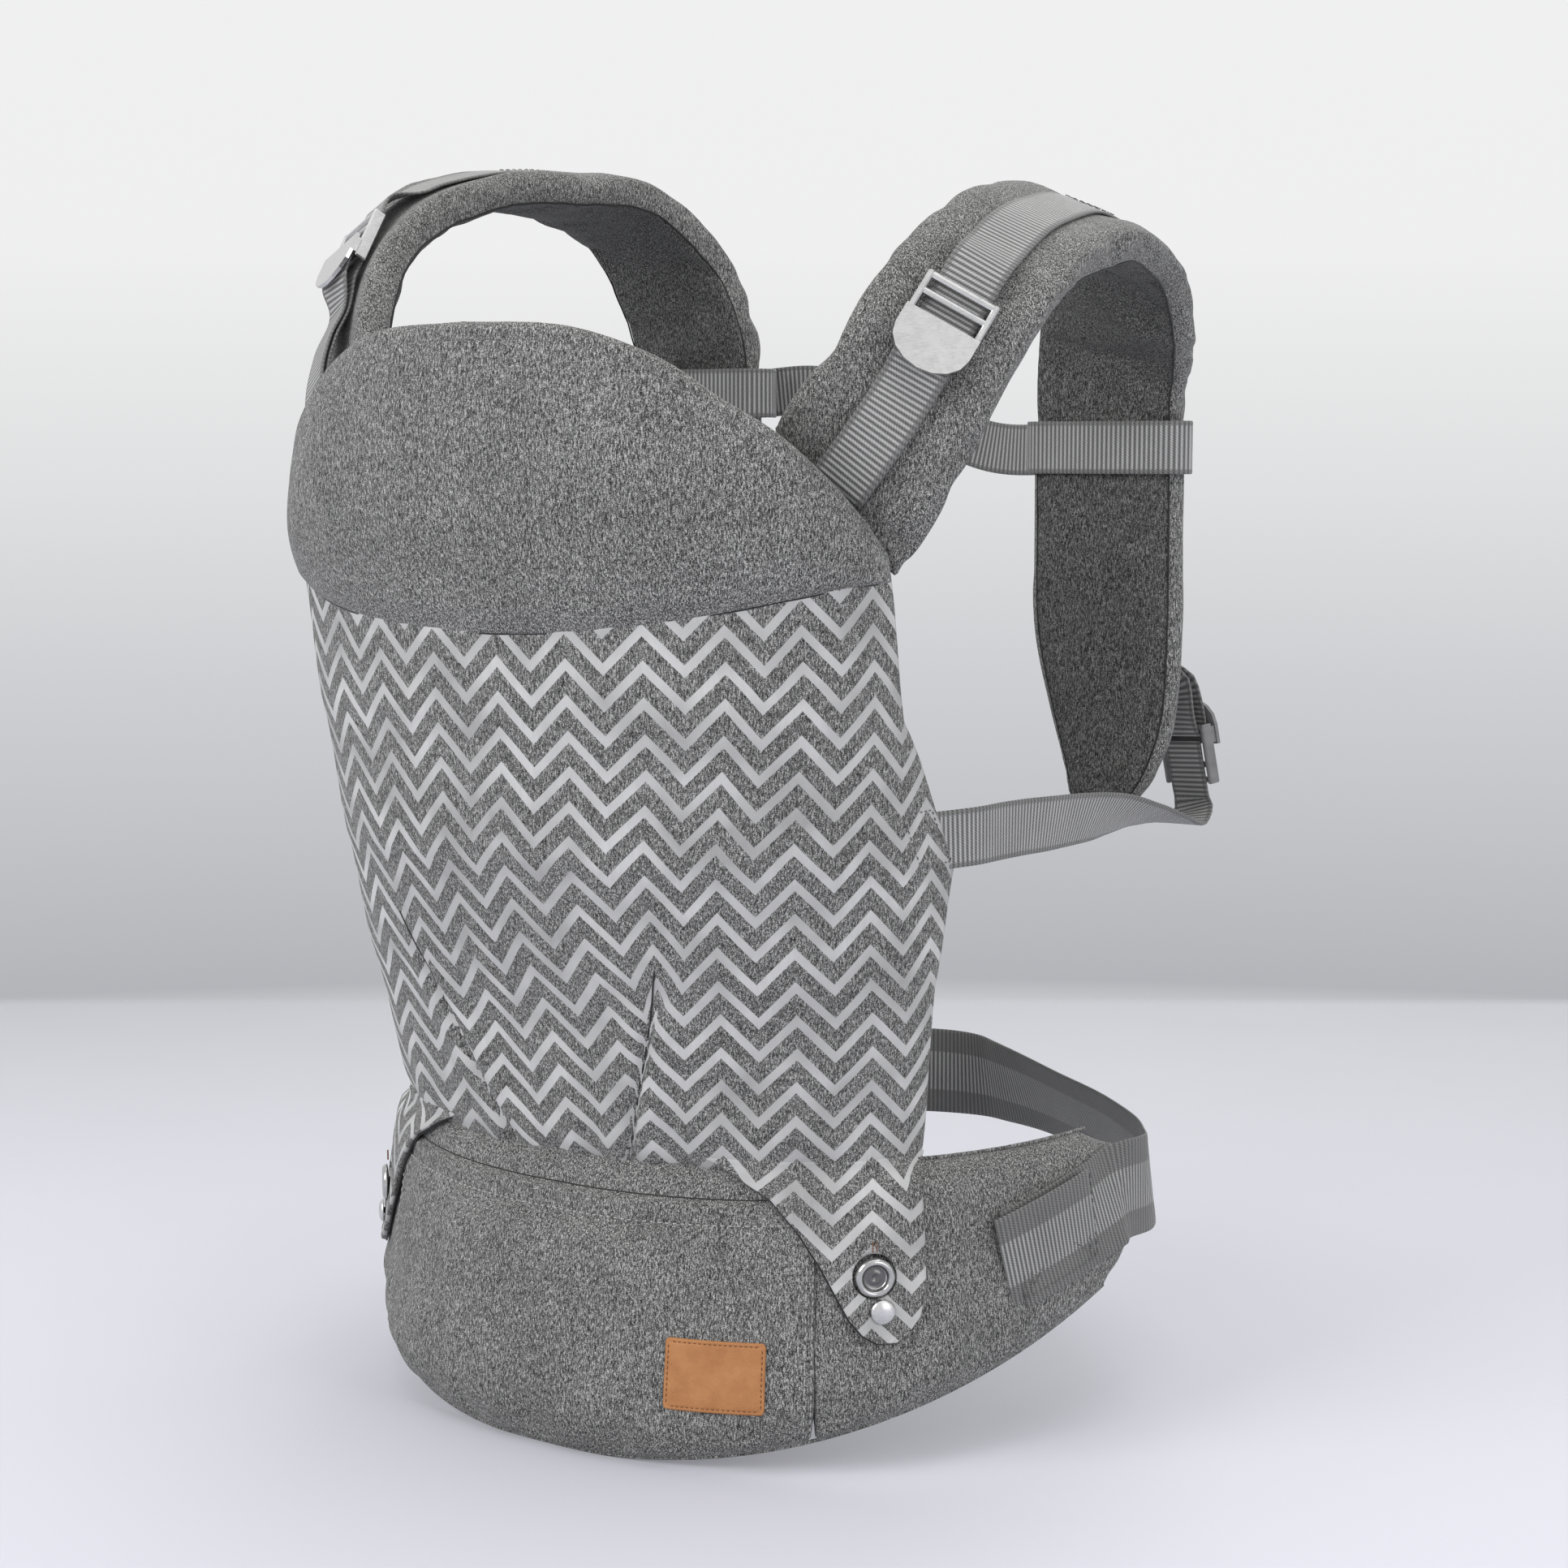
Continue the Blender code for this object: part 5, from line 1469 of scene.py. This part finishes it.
def build_pad(side, word):
    pad = Pad(side)
    rows = 124
    rings, marks = [], []
    for row in range(rows + 1):
        at = pad.last * row / rows
        middle, across, out, half = pad.frame(at)
        tip = ease(at, -0.02, 0.25) * (1 - 0.7 * ease(at, pad.last - 0.45, pad.last))
        ring = []
        for step in range(AROUND):
            a, b = pad_share(step)
            wide, deep = half - 0.0004, (PAD_THICK / 2 - 0.0002) * tip
            ring.append(middle + across * (a * wide) + out * (b * deep))
            marks.append((at, a, b))
        rings.append(ring)
    # The underside between the two seams takes the darkened melange: painted shade
    kinds = [int(SEAM_STEPS[1] <= step < AROUND + SEAM_STEPS[0]) for step in range(AROUND)]
    name = "shoulder_pad_" + word
    mesh = tube(name, rings, None, kinds)
    made = piece(name, mesh, [FABRIC, DARK], None)
    seams = [step % AROUND for step in SEAM_STEPS]
    ends = (*range(AROUND), *range(rows * AROUND, len(marks)))
    pinned = [index for index in range(len(marks)) if index % AROUND in seams or index in ends]
    limits = [pad_limit(side, *mark) for mark in marks]
    inflate(made, pinned, lambda index: limits[index])
    for index, vertex in enumerate(mesh.vertices):
        at, a, b = marks[index]
        _, across, out, half = pad.frame(at)
        free = limits[index] / 0.0032
        wave = noise.noise(Vector((at * 1.3, a * 1.6, 2.0 + side + (b > 0))))
        fine = noise.noise(Vector((at * 5.2, a * 1.9, 6.0 + side)))
        vertex.co += out * (math.copysign(1, b) * (0.0012 * wave + 0.0007 * fine) * free)
        groove = 0.0007 if index % AROUND in seams else 0.0
        vertex.co -= across * math.copysign(groove, a)
    subdivide(made)
    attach(made, "carrier")
    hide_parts("shoulder_pad_cover_" + word, "shoulder_pad_foam_" + word)
    # Dark cords along both seams: painted shade in their grooves
    for index, step in enumerate(SEAM_STEPS):
        line = []
        for row in range(2, rows - 1):
            spot = mesh.vertices[row * AROUND + step % AROUND].co.copy()
            middle = pad.frame(pad.last * row / rows)[0]
            line.append((spot, (spot - middle).normalized()))
        cord_line(f"pad_seam_shadow_{word}_{index}", line, 0.0006, "carrier", PAINTED_SEAM_SHADOW)


def over_pad(pad, at, lift):
    middle, side, out, _ = pad.frame(at)
    return middle + out * (PAD_THICK / 2 + lift), side, out


BOX_LINES = ((0, 1), (1, 2), (2, 3), (3, 0), (0, 2), (1, 3))  # sides and diagonals, by corner


def box_cross(corner, first, second, out, wide, tall):
    """Stitch lines of a sewn box: its four sides and its diagonals."""
    places = [(-1, -1), (1, -1), (1, 1), (-1, 1)]
    spots = [corner + first * (a * wide / 2) + second * (b * tall / 2) for a, b in places]
    return [[(spots[a].lerp(spots[b], i / 10), out) for i in range(11)] for a, b in BOX_LINES]


def build_shoulder_webbing(pad, word):
    frame_here = lock_frame(pad)
    lane = LOCK_LANE
    points = [frame_here @ Vector((u, 0, lane)) for u in (-0.0045, 0.006, 0.017, 0.030)]
    across = [frame_here.to_3x3() @ Vector((0, 1, 0))] * 4
    start = LOCK_AT[pad.side] + 0.95
    for step in range(12):
        at = start + (CROWN_AT - start) * step / 11
        lift = GAP + WEB_THICK / 2 + 0.0012 * max(1 - step / 4, 0)
        point, side, _ = over_pad(pad, at, lift)
        points.append(point)
        across.append(side)
    made = webbing("shoulder_webbing_upper_" + word, points, across, STRAP_WEB, "carrier", crinkle=0.0003)
    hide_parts("shoulder_webbing_upper_" + word)

    bar = (-0.0098, lane + 0.0022)
    turn = loop_points(bar, LOOP_RADIUS, 0.010, -1)
    width = frame_here.to_3x3() @ Vector((0, 1, 0))
    seam, directions = [], []
    end = LOCK_AT[pad.side] - 0.5
    for step in range(6):
        lift = 3 * GAP + WEB_THICK / 2 + LOOP_BULGE[pad.side] * math.sin(math.pi * step / 5)
        point, side, out = over_pad(pad, 0.3 + (end - 0.3) * step / 5, lift)
        seam.append((point, out))
        directions.append(side)
    points = [spot + out * 0.0024 for spot, out in seam]
    points += [frame_here @ Vector((u, 0, n)) for u, n in turn]
    points += [spot for spot, _ in seam[::-1]]
    across = [*directions, *[width] * len(turn), *directions[::-1]]
    made = webbing("shoulder_webbing_lower_" + word, points, across, STRAP_WEB, "carrier", 0.003)
    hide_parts("shoulder_webbing_lower_" + word)

    at = CROWN_AT - 0.55
    point, side, out = over_pad(pad, at, GAP + WEB_THICK + 0.0002)
    lines = box_cross(point, side, pad.along(at), out, 0.019, 0.022)
    stitching("crown_stitches_" + word, lines, "carrier", THREAD_GREY)


def build_lower_webbing(pad, word):
    flip = Vector((pad.side, 1, 1))
    centre, up, out = LOWER_LOCK * flip, LOWER_UP * flip, LOWER_OUT * flip
    frame_here = local_frame(centre, -up, out)
    width = frame_here.to_3x3() @ Vector((0, 1, 0))
    points, across = [], []
    rise = (SIDE_HEIGHT - PANEL_BOTTOM) / (PANEL_TOP + PANEL_TOP_RISE - PANEL_BOTTOM)
    for u, lift in ((0.93, -0.0022), (0.985, -0.0012)):
        spot = panel_point(u, rise, lift)
        points.append(Vector((spot.x, spot.y, SIDE_HEIGHT)) * flip)
        across.append(UP)
    for place, direction in SIDE_ROUTE:
        points.append(Vector(place) * flip)
        across.append(Vector(direction) * flip)
    for u in (0.0265, 0.019, 0.010, 0.003, -0.0045):
        points.append(frame_here @ Vector((u, 0, 0)))
        across.append(width)
    made = webbing("side_webbing_" + word, points, across, STRAP_WEB, "carrier", crinkle=0.0005)
    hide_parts("side_webbing_" + word)

    middle, side, back, _ = pad.frame(LOWER_ROOT)
    root = middle + side * 0.010 + back * (PAD_THICK / 2 + 2 * GAP + WEB_THICK / 2 + LOWER_FOLD)
    up_pad = Vector((-0.40 * pad.side, 0, 1))
    up_pad = unit(up_pad - up_pad.dot(back) * back)
    leg = frame_here @ Vector((-0.0098 - 0.0190, 0, 0.0022))
    turning = frame_here.to_3x3()
    along, normal = turning @ Vector((1, 0, 0)), turning @ UP
    flat = up_pad.cross(back)
    rows = [(root, back, flat, LOWER_FOLD)]
    for step in range(6):
        t = step / 6
        spot = curve_point(root - up_pad * 0.010, unit(back * 0.6 - up_pad), leg, along, 0.020, t)
        fold = LOWER_FOLD + (LOOP_RADIUS - LOWER_FOLD) * t
        rows.append((spot, unit(back.lerp(normal, t)), unit(flat.lerp(width, t**2)), fold))
    turn = loop_points((-0.0098, 0.0022), LOOP_RADIUS, 0.0190, -1)
    points = [spot + out * fold for spot, out, _, fold in rows]
    points += [frame_here @ Vector((u, 0, n)) for u, n in turn]
    points += [spot - out * fold for spot, out, _, fold in rows[::-1]]
    flats = [one for _, _, one, _ in rows]
    across = [*flats, *[width] * len(turn), *flats[::-1]]
    made = webbing("lower_webbing_" + word, points, across, STRAP_WEB, "carrier", 0.003)
    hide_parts("lower_webbing_" + word)
    spot = root + back * (LOWER_FOLD + WEB_THICK / 2 + 0.0002) - up_pad * 0.004
    stitching(
        "lower_stitches_" + word,
        box_cross(spot, flat, up_pad, back, 0.019, 0.008),
        "carrier",
        THREAD_GREY,
    )


for side, word in ((1, "left"), (-1, "right")):
    build_pad(side, word)
    build_shoulder_webbing(Pad(side), word)
    build_lower_webbing(Pad(side), word)


# ---- Waist webbing


def build_waist_webbing():
    frame_here = local_frame(BUCKLE_MIDDLE, BUCKLE_ALONG, BUCKLE_OUT)
    points, across = wing_path(1)
    bend = smooth(BACK_LEFT, 3)
    points += [Vector(row[:3]) for row in bend]
    across += [Vector((-0.35 * row[3], -row[3], 1.0)) for row in bend]
    for distance in (WAIST_STRAIGHT, WAIST_STRAIGHT - 0.005, 0.03, 0.006):
        points.append(frame_here @ Vector((distance, 0, WEB_LANE)))
        across.append(UP)
    made = webbing("waist_webbing_left", points, across, WAIST_WEB, "carrier", finish=WIDE_STRAP)
    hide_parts("waist_webbing_left")

    points, across = wing_path(-1)
    bend = smooth(BACK_RIGHT, 3)
    points += [Vector(row[:3]) for row in bend]
    across += [Vector((0.35 * row[3], -row[3], 1.0)) for row in bend]
    turn = loop_points((SOCKET_BAR, 0.0), 0.0026, 0.014, -1)
    points += [frame_here @ Vector((u, 0, n)) for u, n in turn]
    across += [UP] * len(turn)
    made = webbing("waist_webbing_right", points, across, WAIST_WEB, "carrier", 0.003, finish=WIDE_STRAP)
    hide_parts("waist_webbing_right")


def wing_spot(side, step, aside, lift):
    """A point over the waist webbing on a wing: step 0 to 6 along it, aside across it."""
    angle = WAIST_PATCH + (BELT_END - WAIST_PATCH) * step / 6
    top, low, out = belt_frame(angle)
    up = unit(top - low)
    point = belt_point(angle, wing_middle(step), BELT_THICK / 2 + GAP + WEB_THICK + lift) + up * aside
    return mirrored(point, side), mirrored(out, side)


WIDE_STRAP = strap("wide_webbing", 0.22, 0.0023)
build_waist_webbing()
for side, word in ((1, "left"), (-1, "right")):
    reach, lines = 0.0185, []
    corners = [(0.35, -reach), (3.6, -reach), (3.6, reach), (0.35, reach)]
    ends = [(corners[a], corners[b]) for a, b in BOX_LINES]
    ends += [((step, -reach), (step, reach)) for step in (0.62, 3.3)]
    for (s0, a0), (s1, a1) in ends:
        shares = [i / 12 for i in range(13)]
        lines.append([wing_spot(side, s0 + (s1 - s0) * t, a0 + (a1 - a0) * t, 0.0003) for t in shares])
    stitching("waist_stitches_" + word, lines, "carrier", THREAD_GREY)
    points, across = [], []
    for step in range(-1, 18):
        points.append(wing_spot(side, -0.25 + step * 0.22, 0.0, WEB_THICK / 2 + 0.0001)[0])
        across.append(UP)
    webbing("waist_patch_" + word, points, across, WAIST_WEB - 0.001, "carrier", finish=WIDE_STRAP)


# ---- Chest strap


def build_chest():
    frame_here = local_frame(CHEST_MOUTH, CHEST_ALONG, CHEST_OUT)
    lane = WEB_LANE * CHEST_SCALE
    points = pad_loop(1)
    width = frame_here.to_3x3() @ Vector((0, 1, 0))
    ends = [frame_here @ Vector((u, 0, lane)) for u in (0.060, 0.045, 0.020, 0.004)]
    across = [*[UP] * len(points), *[width] * len(ends)]
    made = webbing("chest_webbing_left", points + ends, across, STRAP_WEB, "chest_strap")
    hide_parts("chest_webbing_left")

    turn = loop_points((SOCKET_BAR * CHEST_SCALE, 0.0), 0.0020, 0.006, -1)
    points = pad_loop(-1)
    across = [*[UP] * len(points), *[width] * len(turn)]
    points += [frame_here @ Vector((u, 0, n)) for u, n in turn]
    made = webbing("chest_webbing_right", points, across, STRAP_WEB, "chest_strap", 0.003)
    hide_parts("chest_webbing_right")


build_chest()


# ---- Finishes on the frame's own nodes


def refinish(name, finish):
    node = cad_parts[name]
    for slot in node.material_slots:
        slot.material = finish


for kind in ("waist", "chest"):
    for part in ("socket", "plug", "tab_upper", "tab_lower"):
        refinish(f"{kind}_buckle_{part}", PLASTIC)
for word in ("left", "right"):
    refinish("shoulder_adjuster_" + word, STEEL)
    refinish("lower_adjuster_" + word, LOCK_PLASTIC)


# ---- Seams, their painted shadows, and topstitching


def round_at(s, v):
    """How far round the panel (-1 to 1) the distance from its centre line is s, at this height."""
    low_u, high_u = -1.0, 1.0
    for _ in range(24):
        middle = (low_u + high_u) / 2
        if arc(middle, v) < s:
            low_u = middle
        else:
            high_u = middle
    return (low_u + high_u) / 2


for side, word in ((1, "left"), (-1, "right")):
    corners = [(0.885, 0.5240), (0.985, 0.5240), (0.985, 0.6120), (0.885, 0.6120)]
    lines = []
    for (u0, v0), (u1, v1) in zip(corners, corners[1:] + corners[:1]):
        line = []
        for step in range(9):
            u, v = side * (u0 + (u1 - u0) * step / 8), v0 + (v1 - v0) * step / 8
            spot = panel_place(u, v, PANEL_THICK / 2 + 0.0002)
            line.append((spot, surface_normal(panel_surface, u, v)))
        lines.append(line)
    name = "side_patch_stitches_" + word
    stitching(name, lines, "carrier", THREAD_GREY, 0.0019, 0.0012, 0.0003)

# A dark cord along the seam of hood and panel: painted shade in the seam
line = []
for step in range(81):
    u = 0.98 * (2 * step / 80 - 1)
    line.append((hood_place(u, 0.0, 0.0018), surface_normal(panel_surface, u, 1.0)))
cord_line("hood_seam_shadow", line, 0.0006, "carrier", PAINTED_SEAM_SHADOW)
rim = []
for shift in (0.956, 0.944):
    rim.append([(hood_place(u / 60, shift, 0.0037), unit((u / 60, -1, 0.3))) for u in range(-6, 55)])
stitching("hood_topstitch", rim, "carrier", THREAD_GREY, 0.0021, 0.0012, 0.0002)
# A dark cord along each dart: painted shade in its fold
for index, dart in enumerate(DARTS):
    line = []
    for step in range(25):
        share = step / 24 * 0.99
        s = dart[0] + (dart[2] - dart[0]) * share
        z = dart[1] + (dart[3] - dart[1]) * share
        v = max((z - PANEL_BOTTOM) / PANEL_SPAN, 0.0)
        u = round_at(s, v)
        spot = panel_place(u, TUCK + (1 - TUCK) * v, PANEL_THICK / 2 + 0.0002)
        line.append((spot, surface_normal(panel_surface, u, v)))
    cord_line(f"dart_seam_shadow_{index}", line, 0.00042, "carrier", PAINTED_SEAM_SHADOW)


# ---- Camera, stage and light


def stage_floor():
    """A pale floor that ends in a straight edge behind the object, as the backdrop begins."""
    forward = Vector((-math.sin(CAMERA_TURN), math.cos(CAMERA_TURN), 0))
    aside = Vector((math.cos(CAMERA_TURN), math.sin(CAMERA_TURN), 0))
    corners = [forward * a + aside * b for a, b in ((-6, -6), (-6, 6), (FLOOR_EDGE, 6), (FLOOR_EDGE, -6))]
    mesh = bpy.data.meshes.new("floor")
    mesh.from_pydata([tuple(corner) for corner in corners], [], [(0, 1, 2, 3)])
    made = bpy.data.objects.new("floor", mesh)
    bpy.context.scene.collection.objects.link(made)
    look = Finish("pale_floor")
    along = look.node("VectorMath", operation="DOT_PRODUCT")
    look.put(along.inputs[0], look.place)
    along.inputs[1].default_value = forward
    # The tone darkens from near to far: painted falloff of the light over the floor
    depth = look.spread(along.outputs["Value"], -1.6, FLOOR_EDGE)
    tone = look.ramp(depth, FLOOR_FALLOFF_TONES)
    specks = look.noise(look.place, 9.0, 2.0)
    tone = look.mix(look.spread(specks, 0.3, 0.7, 0.0, 0.03), tone, (0.7, 0.7, 0.75))
    edge = look.spread(along.outputs["Value"], FLOOR_EDGE - 0.03, FLOOR_EDGE, 1.0, 0.0)
    look.put(look.shader.inputs["Alpha"], edge)
    normal = look.bump(look.noise(look.place, 400.0, 2.0), 0.0001, 0.2)
    mesh.materials.append(look.done(tone, 0.75, normal, specular=0.15))
    made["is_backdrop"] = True


def studio_light(name, place, target, size, power, tint=(1, 1, 1)):
    lamp = bpy.data.lights.new(name, "AREA")
    lamp.shape = "RECTANGLE"
    lamp.size, lamp.size_y = size
    lamp.energy = power
    lamp.color = tint
    made = bpy.data.objects.new(name, lamp)
    made.location = place
    made.rotation_euler = (Vector(target) - Vector(place)).to_track_quat("-Z", "Y").to_euler()
    bpy.context.scene.collection.objects.link(made)


CAMERA_TURN = math.radians(35)
FLOOR_EDGE = 0.865
FLOOR_FALLOFF_TONES = [  # from near to far, darker towards the back: painted falloff of the light
    (0.0, (0.68, 0.68, 0.75)),
    (0.45, (0.635, 0.635, 0.70)),
    (0.75, (0.55, 0.555, 0.60)),
    (1.0, (0.42, 0.424, 0.45)),
]
SKY = [  # sine of the elevation, and tone
    (-0.30, (0.66, 0.66, 0.69)),
    (-0.192, (0.60, 0.60, 0.63)),
    (-0.183, (0.457, 0.462, 0.487)),
    (-0.12, (0.558, 0.564, 0.588)),
    (-0.078, (0.620, 0.626, 0.650)),
    (-0.014, (0.738, 0.742, 0.750)),
    (0.069, (0.866, 0.866, 0.870)),
    (0.20, (0.871, 0.871, 0.871)),
]


def studio_world():
    world = bpy.data.worlds.new("studio")
    bpy.context.scene.world = world
    world.use_nodes = True
    tree = world.node_tree
    place = tree.nodes.new("ShaderNodeTexCoord")
    split = tree.nodes.new("ShaderNodeSeparateXYZ")
    tree.links.new(place.outputs["Generated"], split.inputs[0])
    level = tree.nodes.new("ShaderNodeMapRange")
    tree.links.new(split.outputs[2], level.inputs[0])
    level.inputs[1].default_value, level.inputs[2].default_value = SKY[0][0], SKY[-1][0]
    ramp = tree.nodes.new("ShaderNodeValToRGB")
    tree.links.new(level.outputs[0], ramp.inputs[0])
    while len(ramp.color_ramp.elements) < len(SKY):
        ramp.color_ramp.elements.new(0.5)
    for element, (sine, tone) in zip(ramp.color_ramp.elements, SKY):
        element.position = (sine - SKY[0][0]) / (SKY[-1][0] - SKY[0][0])
        element.color = (*tone, 1.0)
    tree.links.new(ramp.outputs[0], tree.nodes["Background"].inputs[0])
    tree.nodes["Background"].inputs[1].default_value = 1.0


camera = bpy.data.objects.new("camera", bpy.data.cameras.new("camera"))
camera.data.lens = 65.59
camera.data.sensor_width = 36
camera.data.clip_end = 50
camera.location = (0.7850, -1.1350, 0.435)
camera.rotation_euler = (math.radians(90 - 6.676), 0, CAMERA_TURN)
bpy.context.scene.collection.objects.link(camera)
bpy.context.scene.camera = camera
bpy.context.scene.view_settings.view_transform = "Standard"

stage_floor()
studio_world()
studio_light("key", (-0.9, -2.0, 1.5), (0, -0.05, 0.3), (1.4, 1.4), 26)
studio_light("fill", (1.9, -0.6, 0.9), (0, 0, 0.3), (1.2, 1.6), 9)
studio_light("top", (0.1, 0.1, 2.0), (0, 0, 0.3), (1.6, 1.6), 10)
studio_light("rear", (-0.6, 1.8, 1.2), (0, 0, 0.3), (1.2, 1.2), 9)

low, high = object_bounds()
